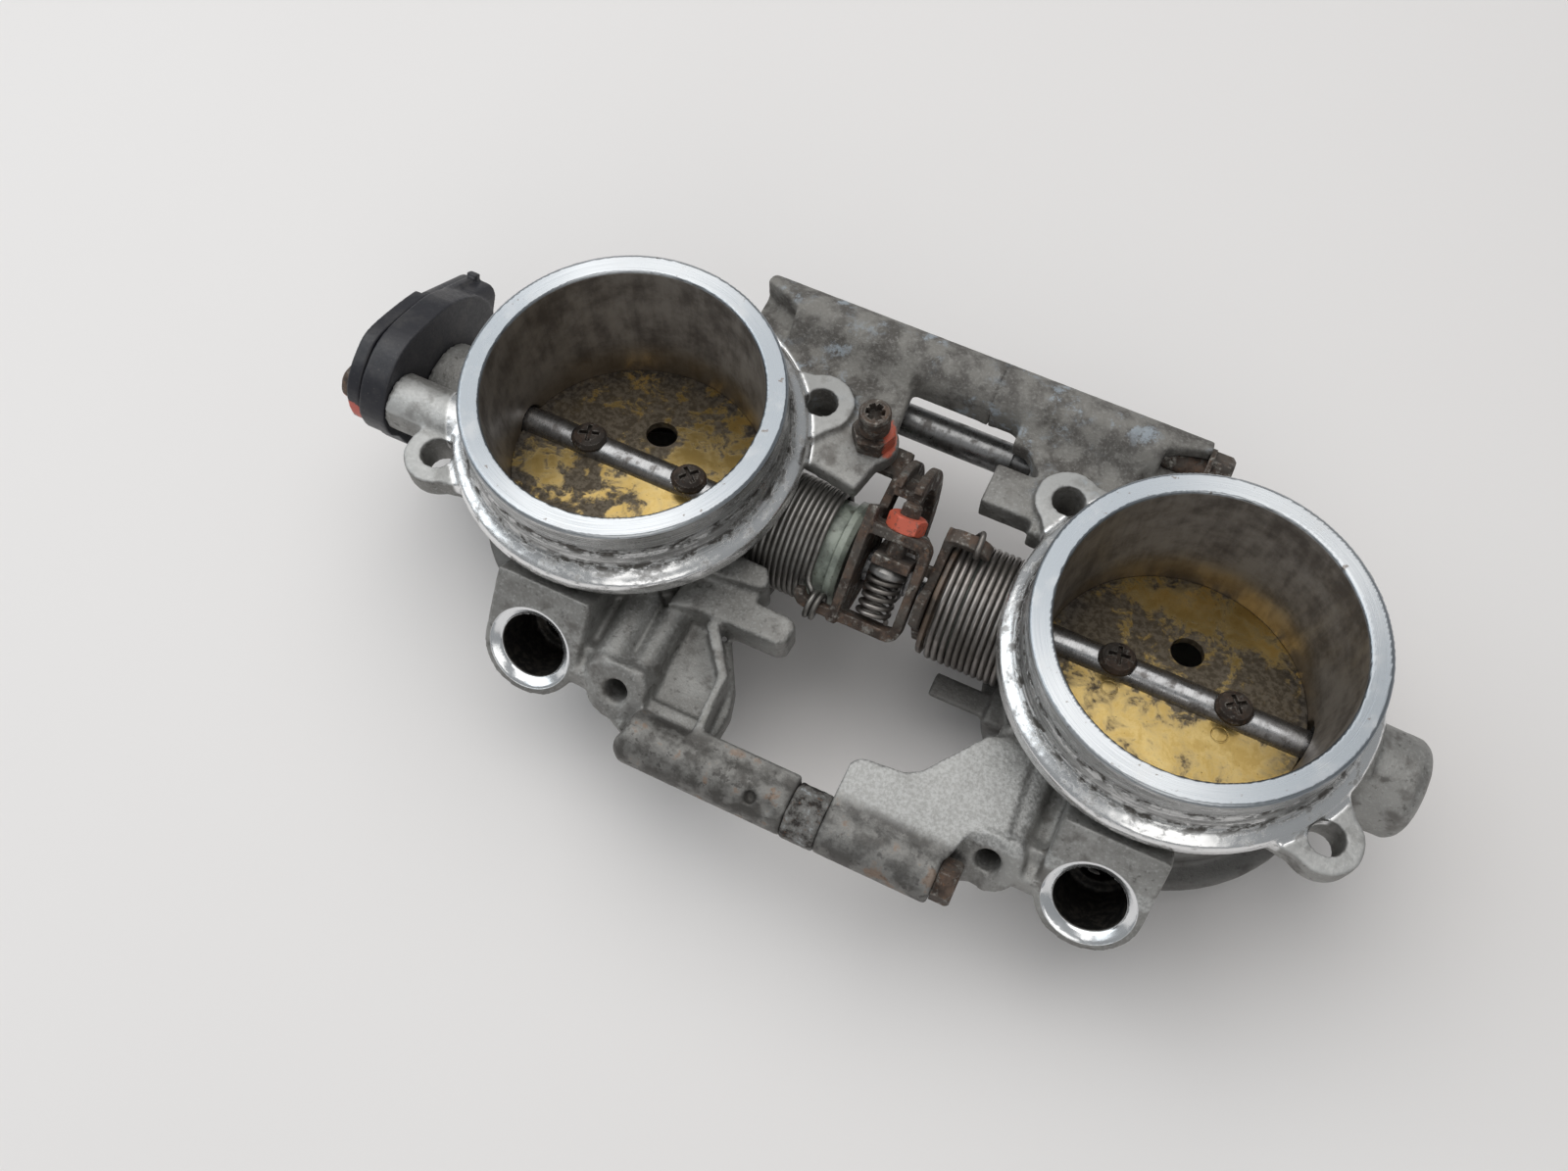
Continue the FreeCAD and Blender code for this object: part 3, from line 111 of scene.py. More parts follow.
# ------------------------------------------------------------------ shader arithmetic
class Signal:
    """A shader socket that builds nodes when it is used in arithmetic."""

    def __init__(self, net, socket):
        self.net = net
        self.socket = socket

    def __add__(self, other):
        return self.net.math("ADD", self, other)

    def __sub__(self, other):
        return self.net.math("SUBTRACT", self, other)

    def __rsub__(self, other):
        return self.net.math("SUBTRACT", other, self)

    def __mul__(self, other):
        return self.net.math("MULTIPLY", self, other)

    def __abs__(self):
        return self.net.math("ABSOLUTE", self)

    def max(self, other):
        return self.net.math("MAXIMUM", self, other)

    def inverse(self):
        return self.net.math("SUBTRACT", 1.0, self, clamp=True)

    def ramp(self, start, end, to=(0.0, 1.0)):
        """Smooth change between the two `to` values as the signal goes from start to end."""
        return self.net.node("MapRange", {
            "Value": self, "From Min": start, "From Max": end, "To Min": to[0], "To Max": to[1],
        }, interpolation_type="SMOOTHSTEP", clamp=True)

    def band(self, low, high, soft):
        """1 between low and high, with edges soft to each side."""
        return self.ramp(low - soft, low + soft) * self.ramp(high + soft, high - soft)


class Net:
    """A new material with one Principled shader, and the nodes that feed it."""

    def __init__(self, name):
        self.material = bpy.data.materials.new(name)
        self.material.use_nodes = True
        self.tree = self.material.node_tree
        self.tree.nodes.clear()
        output = self.tree.nodes.new("ShaderNodeOutputMaterial")
        self.shader = self.tree.nodes.new("ShaderNodeBsdfPrincipled")
        self.tree.links.new(self.shader.outputs[0], output.inputs[0])
        self.place = self.node("TexCoord", output="Object")
        self.axes = None

    def put(self, socket, value):
        if isinstance(value, Signal):
            self.tree.links.new(value.socket, socket)
        elif socket.type == "RGBA":
            socket.default_value = (*value, 1.0)
        else:
            socket.default_value = value

    def set(self, name, value):
        self.put(self.shader.inputs[name], value)

    def node(self, kind, inputs=(), output=0, **settings):
        node = self.tree.nodes.new("ShaderNode" + kind)
        for key, value in settings.items():
            setattr(node, key, value)
        for key, value in dict(inputs).items():
            self.put(node.inputs[key], value)
        return Signal(self, node.outputs[output])

    def math(self, operation, a, b=0.0, clamp=False):
        return self.node("Math", {0: a, 1: b}, operation=operation, use_clamp=clamp)

    def hypot(self, a, b):
        return self.math("SQRT", a * a + b * b)

    def xyz(self):
        if self.axes is None:
            split = self.tree.nodes.new("ShaderNodeSeparateXYZ")
            self.put(split.inputs[0], self.place)
            self.axes = [Signal(self, socket) for socket in split.outputs]
        return self.axes

    def vector(self, x, y, z):
        return self.node("CombineXYZ", {0: x, 1: y, 2: z})

    def noise(self, scale, detail, rough=0.6, at=None, distortion=0.0):
        return self.node("TexNoise", {
            "Vector": at or self.place, "Scale": scale, "Detail": detail,
            "Roughness": rough, "Distortion": distortion})

    def mix(self, mask, under, over):
        return self.node("Mix", {0: mask, 6: under, 7: over}, output=2, data_type="RGBA")

    def mix_value(self, mask, under, over):
        return self.node("Mix", {0: mask, 2: under, 3: over}, data_type="FLOAT")

    def coats(self, base, *coats):
        """Lay (mask, colour) coats over a base colour, in order."""
        for mask, colour in coats:
            base = self.mix(mask, base, colour)
        return base

    def rounded(self, radius):
        return self.node("Bevel", {"Radius": radius}, samples=4)

    def worn_edge(self, radius, top):
        """`top` along sharp edges, 0 on flats."""
        normal = self.node("NewGeometry", output="Normal")
        dot = self.node("VectorMath", {0: self.rounded(radius), 1: normal},
                        output="Value", operation="DOT_PRODUCT")
        return dot.ramp(0.995, 0.90, to=(0.0, top))

    def ragged_distance(self, point, scale, detail, wander):
        """Distance from a point, made uneven by noise."""
        distance = self.node("VectorMath", {0: self.place, 1: point},
                             output="Value", operation="DISTANCE")
        return distance + (self.noise(scale=scale, detail=detail) - 0.5) * wander

    def set_bump(self, height, distance, strength, rounding=None):
        """Relief on the surface; rounding is the radius that softens its edges."""
        inputs = {"Strength": strength, "Distance": distance, "Height": height}
        if rounding is not None:
            inputs["Normal"] = self.rounded(rounding)
        self.set("Normal", self.node("Bump", inputs))


def around_bore(net):
    """Place, the step outward from the nearer bore's axis, and the radius from that axis."""
    x, y, z = net.xyz()
    outward = abs(x - MID) - MID
    return SimpleNamespace(x=x, y=y, z=z, outward=outward, radius=net.hypot(outward, y))


# ------------------------------------------------------------------ cast aluminium
def casting_zones(net, at):
    """Masks for the surfaces of a casting that are finished differently."""
    x, y, z, radius = at.x, at.y, at.z, at.radius
    # air spigot: flat rim, bore inside it, turned wall outside, flange at its foot
    rim = z.ramp(-0.00075, -0.0004) * radius.ramp(0.0350, 0.0340)
    bore = radius.ramp(0.02845, 0.0282) * z.ramp(-0.0001, -0.0006)
    wall = (radius.ramp(0.0352, 0.0342) * z.ramp(-0.0128, -0.0116)
            * (bore.inverse() * rim.inverse()))
    flange = (radius.ramp(0.0326, 0.0334) * radius.ramp(0.0380, 0.0372)
              * z.band(-0.0172, -0.0118, soft=0.0007))
    # lug tops, without the far left front corner
    lug = z.ramp(-0.0149, -0.0144) * radius.ramp(0.0355, 0.0362)
    lug = lug * abs(y).ramp(0.034, 0.031)
    lug = lug * (x.ramp(-0.034, -0.036) * y.ramp(-0.0105, -0.0095)).inverse()
    # injector sockets: bright mouth, and painted shade in the hollow
    along, across = injector_signals(y, z)
    spread = net.hypot(at.outward, across)
    near = along.ramp(-0.020, -0.0185)
    chamfer = spread.ramp(0.0092, 0.00895) * along.ramp(-0.0016, -0.0013) * near
    hole = (spread.ramp(0.0071, 0.0069) * along.ramp(0.0005, -0.0010)
            * along.ramp(-0.040, -0.036))
    mouth = chamfer * (hole * along.ramp(-0.0012, -0.0016)).inverse()
    return SimpleNamespace(
        rim=rim, bore=bore, wall=wall, flange=flange, lug=lug, mouth=mouth,
        hollow=hole * along.ramp(-0.0012, -0.0020),
        outlet=z.ramp(-0.0492, -0.0497) * radius.ramp(0.0305, 0.0309),
        back=y.ramp(0.012, 0.030) * z.ramp(-0.030, -0.022),
        turned=rim.max(mouth).max(wall.max(flange)))


def injector_signals(y, z):
    """The socket frame as shader nodes, which add the offsets."""
    from_y, from_z = y + -SOCKET_Y, z + -SOCKET_Z
    along = from_y * -SOCKET_COS + from_z * SOCKET_SIN
    across = from_y * SOCKET_SIN + from_z * SOCKET_COS
    return along, across


def cast_skin(net, at, zone, grit):
    """Colour of the surfaces left as cast, with painted shade towards the bottom."""
    x, y, z = at.x, at.y, at.z
    web_z = -0.0262
    skin = net.coats(
        net.mix(grit.big.ramp(0.35, 0.65), (0.205, 0.200, 0.188), (0.345, 0.340, 0.326)),
        (grit.fine.ramp(0.45, 0.75, to=(0, 0.40)), (0.60, 0.60, 0.585)),
        (grit.spots.ramp(0.56, 0.70, to=(0, 0.60)), (0.09, 0.085, 0.078)),
        (grit.mid.ramp(0.48, 0.66, to=(0, 0.7)) * grit.big.ramp(0.42, 0.60),
         (0.11, 0.10, 0.09)))

    # the flat front web is the cleanest, brightest skin
    web = (abs(z - web_z).ramp(0.0016, 0.0008)
           * (y.ramp(-0.024, -0.028) * x.ramp(0.066, 0.070)))
    web_colour = net.mix(grit.fine.ramp(0.35, 0.65), (0.34, 0.34, 0.33), (0.58, 0.58, 0.57))

    # grey-brown grime with pale blue oxide, at the back
    oxide = (net.noise(scale=260, detail=6, rough=0.72).ramp(0.50, 0.62)
             * net.noise(scale=85, detail=2, rough=0.5).ramp(0.46, 0.60))
    grime = net.coats(
        net.mix(grit.mid.ramp(0.38, 0.62), (0.075, 0.066, 0.058), (0.245, 0.235, 0.215)),
        (grit.fine.ramp(0.50, 0.70, to=(0, 0.4)), (0.33, 0.32, 0.30)),
        (oxide * 0.75, (0.40, 0.46, 0.52)))

    # front bar: darker grey with rust bleed
    bar = y.ramp(-0.0475, -0.0505) * abs(x - MID).band(-0.01, 0.0365, soft=0.0006)
    bar_colour = net.coats(
        net.mix(grit.mid.ramp(0.40, 0.60), (0.060, 0.055, 0.050), (0.215, 0.210, 0.198)),
        (grit.spots.ramp(0.55, 0.66, to=(0, 0.8)), (0.055, 0.050, 0.047)),
        (grit.mid.ramp(0.58, 0.66) * 0.5, (0.25, 0.13, 0.06)))

    # painted shade: the casting goes darker towards the bottom, where the lower body lies in
    # shadow
    low = z.ramp(-0.030, -0.046)
    return net.coats(
        skin,
        (web * 0.75, web_colour),
        (zone.back * 0.82, grime),
        (bar * 0.85, bar_colour),
        (low * 0.62, (0.085, 0.080, 0.075)))


def brushed_rim(net, at, angle, rings):
    """Lathe marks, with painted shade that darkens the rim to the sides, where their reflection
    fades; front and back stay brighter.
    """
    # painted shade: each rim goes darker to its sides, standing in for the lathe marks'
    # reflection falling off
    painted_side_shade = abs(net.math("COSINE", angle + 0.35))
    nick = net.noise(scale=430, detail=3).ramp(0.66, 0.71)
    smear = net.noise(scale=120, detail=4).ramp(0.52, 0.70)
    return net.coats(
        net.mix(rings.ramp(0.30, 0.70), (0.44, 0.46, 0.48), (0.60, 0.62, 0.64)),
        (painted_side_shade.ramp(0.30, 1.0, to=(0, 0.75)), (0.24, 0.27, 0.30)),
        (smear * 0.35, (0.50, 0.50, 0.50)),
        (nick * 0.75, (0.16, 0.13, 0.11)))


def sooty_bore(net, at, runs, drips):
    """Soot over aluminium with vertical runs, and a painted tan reflection of the brass plate
    lower down.
    """
    mottle = net.noise(scale=140, detail=5, rough=0.65)
    deposit = (net.noise(scale=210, detail=6, rough=0.72).ramp(0.57, 0.66)
               * (at.z.ramp(-0.036, -0.026) * at.z.ramp(-0.006, -0.016)))
    return net.coats(
        net.mix((runs * 0.35 + mottle * 0.65).ramp(0.36, 0.64),
                (0.150, 0.132, 0.120), (0.360, 0.332, 0.305)),
        (drips.ramp(0.62, 0.74) * 0.25, (0.36, 0.34, 0.31)),
        (deposit * 0.55, (0.30, 0.28, 0.25)),
        # painted reflection: tan band low in the bore, towards the brass plate
        (at.z.ramp(-0.022, -0.031, to=(0, 0.45)), (0.26, 0.175, 0.075)))


def red_dab(net, at):
    """Mask of a ragged oval of paint by the left bore, at the back."""
    dab_x, dab_y = MID - 0.0112, 0.0205
    distance = net.hypot((at.x - dab_x + (at.y - dab_y) * 0.25) * 1.9, (at.y - dab_y) * 0.75)
    distance = distance + (net.noise(scale=600, detail=4, rough=0.65) - 0.5) * 0.0035
    return distance.ramp(0.0034, 0.0026) * at.z.ramp(-0.0185, -0.0170)


def cast_aluminium():
    net = Net("cast_aluminium")
    at = around_bore(net)
    x, y, z = at.x, at.y, at.z
    angle = net.math("ARCTAN2", y, at.outward)
    zone = casting_zones(net, at)
    grit = SimpleNamespace(
        big=net.noise(scale=55, detail=5), mid=net.noise(scale=190, detail=5),
        fine=net.noise(scale=1500, detail=3), spots=net.noise(scale=620, detail=4, rough=0.65))

    # noise stretched into tool marks, pits and runs
    rings = net.noise(scale=1, detail=2, rough=0.5,
                      at=net.vector(at.radius * 5200, angle * 2, z * 300))
    lines = net.noise(scale=1, detail=2, rough=0.5, at=net.vector(angle * 1.5, z * 4200, 0.0))
    pit = net.noise(scale=300, detail=6, rough=0.7, at=net.vector(x * 1.0, y * 1.0, z * 2.4))
    runs = net.noise(scale=1, detail=5, at=net.vector(angle * 9, z * 55, at.radius * 20))
    drips = net.noise(scale=1, detail=4, at=net.vector(angle * 30, z * 190, 3.0))

    # the spigot wall has two bands of dark pits
    pit_band = z.band(-0.0088, -0.0054, soft=0.0006).max(z.band(-0.0128, -0.0108, soft=0.0005))
    pits = pit.ramp(0.46, 0.58) * (pit_band * 0.75 + 0.20)
    wall_colour = net.coats(
        net.mix(lines.ramp(0.35, 0.65), (0.36, 0.36, 0.355), (0.68, 0.68, 0.675)),
        (pits, (0.085, 0.078, 0.070)))
    flange_colour = net.mix(pit.ramp(0.52, 0.66, to=(0, 0.6)),
                            (0.84, 0.84, 0.84), (0.22, 0.205, 0.19))
    # painted shade: the inside of each injector socket is coloured near black
    hollow_shade_colour = net.mix(net.noise(scale=700, detail=3).ramp(0.45, 0.62),
                            (0.016, 0.015, 0.014), (0.045, 0.040, 0.034))
    net.set("Base Color", net.coats(
        cast_skin(net, at, zone, grit),
        (zone.lug * (0.85 - grit.mid.ramp(0.48, 0.62) * 0.45), (0.50, 0.50, 0.49)),
        (zone.outlet * 0.6, (0.30, 0.29, 0.28)),
        (red_dab(net, at), (0.52, 0.14, 0.09)),
        (zone.flange, flange_colour),
        (zone.wall, wall_colour),
        (zone.bore, sooty_bore(net, at, runs, drips)),
        (zone.rim, brushed_rim(net, at, angle, rings)),
        (zone.mouth, (0.84, 0.85, 0.86)),
        (zone.hollow, hollow_shade_colour)))
    net.set("Metallic", (zone.turned * 0.96).max(zone.bore * 0.55)
            .max(net.mix_value(zone.back, 0.62, 0.30)))

    rough = net.mix_value(zone.rim, grit.fine.ramp(0.3, 0.7, to=(0.46, 0.66)),
                          rings.ramp(0.3, 0.7, to=(0.26, 0.36)))
    for mask, value in (
            (zone.wall * pits.inverse(), 0.27),
            (zone.flange * pit.ramp(0.62, 0.50), 0.22),
            (zone.bore, runs.ramp(0.3, 0.7, to=(0.52, 0.34))),
            (zone.mouth, 0.20),
            (zone.back * zone.turned.inverse(), 0.74)):
        rough = net.mix_value(mask, rough, value)
    net.set("Roughness", rough)

    # the rim's highlights run round each bore
    on_right = net.math("GREATER_THAN", x, MID)
    net.set("Tangent", net.vector(y * -1.0, x - on_right * BORE_GAP, 0.0))
    net.set("Anisotropic", zone.rim * 0.6)

    grain = net.noise(scale=3400, detail=2)
    relief_skin = ((grain * 0.35 + (grit.fine * 0.6 + grit.spots * 0.5))
                   * zone.turned.max(zone.bore).inverse())
    relief_back = (net.noise(scale=900, detail=5, rough=0.7) * 1.3
                   * (zone.back * zone.turned.max(zone.bore).inverse()))
    relief_rim = rings * (zone.rim * 0.05)
    relief_wall = (lines * 0.05 - pits * 0.7) * (zone.wall * 1.0)
    relief_bore = drips * 0.16 * zone.bore
    relief = (relief_skin + relief_back) + (relief_rim + (relief_wall + relief_bore))
    net.set_bump(relief, distance=0.00016, strength=0.9)
    return net.material


# ------------------------------------------------------------------ other materials
def stained_brass():
    net = Net("stained_brass")
    at = around_bore(net)
    on_right = at.x.ramp(0.055, 0.065)
    broad = net.noise(scale=70, detail=5, rough=0.62, distortion=0.6)
    medium = net.noise(scale=230, detail=6, rough=0.70, distortion=0.4)
    fine = net.noise(scale=900, detail=4, rough=0.65)
    gold = net.mix(medium.ramp(0.35, 0.65), (0.52, 0.36, 0.12), (0.72, 0.55, 0.24))
    tan = net.mix(fine.ramp(0.40, 0.60), (0.26, 0.185, 0.095), (0.36, 0.27, 0.14))
    dark = net.mix(fine.ramp(0.40, 0.62), (0.032, 0.027, 0.024), (0.115, 0.100, 0.085))

    # the left plate has more deposit to its left, the right one in a band across its middle
    left_bias = at.x.ramp(0.020, -0.025) * 0.16 + at.y.ramp(0.0, 0.020) * 0.02
    bias = net.mix_value(on_right, left_bias, at.y.band(-0.004, 0.016, soft=0.004) * 0.09)
    patch = (broad * 0.55 + (medium * 0.45 + bias)).ramp(0.535, 0.600)
    haze = (broad * 0.4 + (medium * 0.6 + bias * 0.6)).ramp(0.46, 0.60, to=(0, 0.75))
    edge = at.radius.ramp(0.0215, 0.0262) * medium.ramp(0.42, 0.56)
    speck = net.noise(scale=1500, detail=3).ramp(0.66, 0.72)
    net.set("Base Color", net.coats(
        gold,
        (haze, tan),
        (patch * 0.86, dark),
        (edge * 0.75, dark),
        (speck * 0.6, (0.06, 0.045, 0.03))))
    net.set("Metallic", net.mix_value(patch.max(edge), 0.88, 0.35))
    net.set("Roughness", net.mix_value(patch.max(haze), 0.30, 0.60))
    net.set_bump(patch * 0.5 + fine * 0.35, distance=0.00007, strength=0.8, rounding=0.00025)
    return net.material


def ground_steel(name, base, stain_colour, rough, stain):
    """Steel with grinding marks square to x, and stains."""
    net = Net(name)
    x, y, z = net.xyz()
    marks = net.noise(scale=1, detail=2, rough=0.5, at=net.vector(x * 5200, y * 300, z * 300))
    stains = net.noise(scale=330, detail=5, rough=0.68)
    net.set("Base Color", net.coats(
        net.mix(marks.ramp(0.35, 0.65), tuple(channel * 0.86 for channel in base), base),
        (stains.ramp(0.50, 0.66) * stain, stain_colour)))
    net.set("Metallic", 0.95)
    net.set("Roughness", stains.ramp(0.35, 0.70, to=(rough, rough + 0.28)))
    net.set_bump(marks * 0.3 + stains * 0.5, distance=0.00004, strength=0.8, rounding=0.00018)
    return net.material


def rusty_steel(name, tone=1.0, bareness=0.25, paint=None, paint_at=None, paint_radius=None):
    """Brown rust worn to bare metal, with an optional dab of paint round a point."""
    net = Net(name)

    def toned(*colour):
        return tuple(channel * tone for channel in colour)

    broad = net.noise(scale=260, detail=5, rough=0.65)
    medium = net.noise(scale=900, detail=5, rough=0.70)
    fine = net.noise(scale=2600, detail=3)
    greyness = net.noise(scale=150, detail=4).ramp(0.44, 0.60, to=(0, 0.65))
    rust = net.coats(
        net.mix(broad.ramp(0.38, 0.62), toned(0.040, 0.028, 0.022), toned(0.115, 0.078, 0.058)),
        (medium.ramp(0.54, 0.68, to=(0, 0.6)), toned(0.185, 0.095, 0.050)),
        (greyness, toned(0.095, 0.086, 0.076)))
    bare = net.mix(medium.ramp(0.40, 0.60), (0.16, 0.15, 0.135), (0.30, 0.285, 0.26))
    rubbed = net.noise(scale=420, detail=5, rough=0.7).ramp(
        0.62 - bareness * 0.4, 0.70 - bareness * 0.2) * 1.0
    worn = (net.worn_edge(radius=0.0005, top=0.8) * medium.ramp(0.42, 0.55)).max(rubbed)
    pit = net.noise(scale=1300, detail=4, rough=0.7).ramp(0.60, 0.70)
    colour = net.coats(rust, (worn, bare), (pit * 0.8, (0.022, 0.016, 0.013)))
    metallic = net.mix_value(worn, 0.25, 0.85)
    rough = net.mix_value(worn, 0.78, 0.42)
    if paint is not None:
        distance = net.ragged_distance(paint_at, scale=420, detail=4, wander=0.0030)
        painted = (distance.ramp(paint_radius, paint_radius * 0.88)
                   * medium.ramp(0.62, 0.52, to=(0.35, 1.0)))
        colour = net.mix(painted, colour, paint)
        metallic = net.mix_value(painted, metallic, 0.0)
        rough = net.mix_value(painted, rough, 0.48)
    net.set("Base Color", colour)
    net.set("Metallic", metallic)
    net.set("Roughness", rough)
    net.set_bump(medium * 0.7 + (fine * 0.3 + pit * -0.6),
                 distance=0.00012, strength=0.9, rounding=0.00028)
    return net.material


def corroded_collar():
    net = Net("corroded_collar")
    broad = net.noise(scale=380, detail=6, rough=0.7)
    fine = net.noise(scale=1100, detail=5, rough=0.7)
    net.set("Base Color", net.coats(
        net.mix(broad.ramp(0.38, 0.55), (0.035, 0.030, 0.027), (0.20, 0.195, 0.185)),
        (broad.ramp(0.55, 0.66), (0.42, 0.44, 0.45)),
        (fine.ramp(0.58, 0.66) * 0.6, (0.17, 0.085, 0.045))))
    net.set("Metallic", 0.4)
    net.set("Roughness", 0.75)
    net.set_bump(broad + fine * 0.5, distance=0.00035, strength=1.0, rounding=0.0004)
    return net.material


def black_plastic(name, dab_at=None):
    """Dusty black plastic, with an optional dab of red paint round a point."""
    net = Net(name)
    fine = net.noise(scale=1900, detail=3)
    broad = net.noise(scale=140, detail=5, rough=0.65)
    dust = net.noise(scale=2600, detail=2, rough=0.5).ramp(0.66, 0.74) * 0.25
    colour = net.coats(
        net.mix(broad.ramp(0.45, 0.70), (0.0165, 0.0165, 0.0215), (0.042, 0.040, 0.042)),
        (dust, (0.22, 0.20, 0.18)))
    if dab_at is not None:
        distance = net.ragged_distance(dab_at, scale=500, detail=3, wander=0.0022)
        colour = net.mix(distance.ramp(0.0030, 0.0026), colour, (0.52, 0.085, 0.055))
    net.set("Base Color", colour)
    net.set("Roughness", fine.ramp(0.3, 0.7, to=(0.36, 0.50)))
    net.set("Specular IOR Level", 0.5)
    net.set_bump(fine, distance=0.00003, strength=0.7, rounding=0.0004)
    return net.material


def aged_nylon(name, rusty=False):
    net = Net(name)
    broad = net.noise(scale=240, detail=5)
    colour = net.coats(
        net.mix(broad.ramp(0.36, 0.64), (0.150, 0.170, 0.145), (0.320, 0.355, 0.305)),
        (net.noise(scale=700, detail=4, rough=0.65).ramp(0.56, 0.68) * 0.6,
         (0.055, 0.045, 0.032)))
    if rusty:
        # the flange beside the lever has taken up its rust
        rust = net.mix(broad.ramp(0.40, 0.60), (0.050, 0.034, 0.026), (0.125, 0.080, 0.056))
        beside_lever = net.xyz()[0].ramp(MID + 0.0122, MID + 0.0115)
        colour = net.mix(beside_lever * 0.92, colour, rust)
    net.set("Base Color", colour)
    net.set("Roughness", 0.36)
    net.set("Subsurface Weight", 0.15)
    net.set("Subsurface Radius", (0.0015, 0.0015, 0.0010))
    net.set_bump(net.noise(scale=900, detail=3), distance=0.00004, strength=0.6,
                 rounding=0.0003)
    return net.material


def spring_wire(name, base, dark, rough):
    net = Net(name)
    fine = net.noise(scale=2100, detail=3)
    broad = net.noise(scale=130, detail=4)
    net.set("Base Color", net.coats(
        base,
        (broad.ramp(0.40, 0.66, to=(0, 0.8)), dark),
        (fine.ramp(0.64, 0.72) * 0.35, (0.10, 0.060, 0.040))))
    net.set("Metallic", 0.9)
    net.set("Roughness", broad.ramp(0.35, 0.65, to=(rough, rough + 0.2)))
    net.set_bump(fine, distance=0.00003, strength=0.7)
    return net.material


def seal_rubber():
    net = Net("seal_rubber")
    fine = net.noise(scale=900, detail=3)
    net.set("Base Color", net.mix(fine, (0.012, 0.012, 0.012), (0.035, 0.034, 0.033)))
    net.set("Roughness", 0.62)
    net.set_bump(fine, distance=0.00005, strength=0.5)
    return net.material


def copper_alloy(name, dark, light):
    net = Net(name)
    fine = net.noise(scale=700, detail=4)
    net.set("Base Color", net.mix(fine, dark, light))
    net.set("Metallic", 0.9)
    net.set("Roughness", fine.ramp(0.3, 0.7, to=(0.35, 0.5)))
    net.set_bump(fine, distance=0.00003, strength=0.5, rounding=0.0002)
    return net.material


# centres of the paint dabs; the sync nut's lies along a lever tilted by LEVER_TILT
LEVER_TILT = math.radians(40)
TILT_COS, TILT_SIN = math.cos(LEVER_TILT), math.sin(LEVER_TILT)
SYNC_DAB = (MID,
            (-6.6 + 12.6 * TILT_COS - 0.2 * TILT_SIN) * MM,
            (-21.5 + 12.6 * TILT_SIN + 0.2 * TILT_COS) * MM)
IDLE_DAB = (MID - 0.0107, 0.0203, -0.0145)
SCREW_DAB = (-0.0600, -0.0152, -0.0205)
COVER_DAB = (-0.0562, -0.0172, -0.0190)

MATERIALS = {
    "casting": cast_aluminium(),
    "plate_brass": stained_brass(),
    "polished_steel": ground_steel("ground_steel", base=(0.40, 0.40, 0.405), rough=0.20,
                                   stain_colour=(0.07, 0.055, 0.045), stain=0.65),
    "zinc_steel": ground_steel("dull_zinc", base=(0.31, 0.30, 0.29), rough=0.38,
                               stain_colour=(0.09, 0.07, 0.055), stain=0.7),
    "rusty_steel": rusty_steel("rusty_steel"),
    "corroded_steel": corroded_collar(),
    "sensor_plastic": black_plastic("sensor_plastic"),
    "nylon": aged_nylon("aged_nylon"),
    "spring_steel": spring_wire("bright_wire", base=(0.27, 0.25, 0.235),
                                dark=(0.12, 0.108, 0.096), rough=0.30),
    "dark_spring": spring_wire("dark_wire", base=(0.27, 0.26, 0.245),
                               dark=(0.13, 0.12, 0.108), rough=0.33),
    "seal_rubber": seal_rubber(),
    "bush_bronze": copper_alloy("sintered_bronze", dark=(0.28, 0.18, 0.08),
                                light=(0.42, 0.30, 0.15)),
    "contact_brass": copper_alloy("tinned_contact", dark=(0.55, 0.48, 0.34),
                                  light=(0.65, 0.60, 0.48)),
    "nut_idle": rusty_steel("idle_nut", bareness=0.3, paint=(0.50, 0.10, 0.055),
                            paint_at=IDLE_DAB, paint_radius=0.0040),
    "nut_sync": rusty_steel("sync_nut", bareness=0.3, paint=(0.60, 0.12, 0.070),
                            paint_at=SYNC_DAB, paint_radius=0.0062),
    "sensor_screw": rusty_steel("sensor_screws", tone=1.1, bareness=0.2,
                                paint=(0.52, 0.085, 0.055),
                                paint_at=SCREW_DAB, paint_radius=0.0034),
    "cover": black_plastic("sensor_cover", dab_at=COVER_DAB),
    "screw_dark": rusty_steel("plate_screws", tone=0.62, bareness=0.12),
    "nylon_rusty": aged_nylon("rust_stained_nylon", rusty=True),
    "tube_steel": ground_steel("tube_steel", base=(0.26, 0.26, 0.26), rough=0.24,
                               stain_colour=(0.06, 0.05, 0.042), stain=0.6),
}

# pieces with a material of their own; the rest take their slot's
OWN_MATERIAL = {
    "right_spring_bush": "nylon_rusty",
    "balance_tube": "tube_steel",
    "tps_cover": "cover",
    "sync_locknut": "nut_sync",
    "idle_stop_locknut": "nut_idle",
    "tps_screws": "sensor_screw",
    "left_plate_screws": "screw_dark",
    "right_plate_screws": "screw_dark",
}
slot_of = {part["node"]: part["material_slot"] for part in frame["record"]["subparts"]}


def paint(obj, material):
    obj.data.materials.clear()
    obj.data.materials.append(material)


for name, obj in nodes.items():
    key = OWN_MATERIAL.get(name) or slot_of.get(name, name)
    material = MATERIALS.get(key, MATERIALS["rusty_steel"])
    if len(obj.material_slots):
        for material_slot in obj.material_slots:
            material_slot.material = material
    else:
        obj.data.materials.append(material)


# ------------------------------------------------------------------ softened skins
SHRINK = (0.5, 0.0)
KEEP_VOLUME = (0.5, -0.52)


def relax(points, edges, weight, rounds, factors):
    """Move each point towards its neighbours' mean, by each factor in turn."""
    count = len(points)
    start, end = edges[:, 0], edges[:, 1]
    degree = np.maximum(np.bincount(edges.ravel(), minlength=count), 1)[:, None]
    for _ in range(rounds):
        for factor in factors:
            total = np.zeros_like(points)
            for axis in range(3):
                total[:, axis] = (
                    np.bincount(start, weights=points[end, axis], minlength=count)
                    + np.bincount(end, weights=points[start, axis], minlength=count))
            points = points + factor * weight[:, None] * (total / degree - points)
    return points


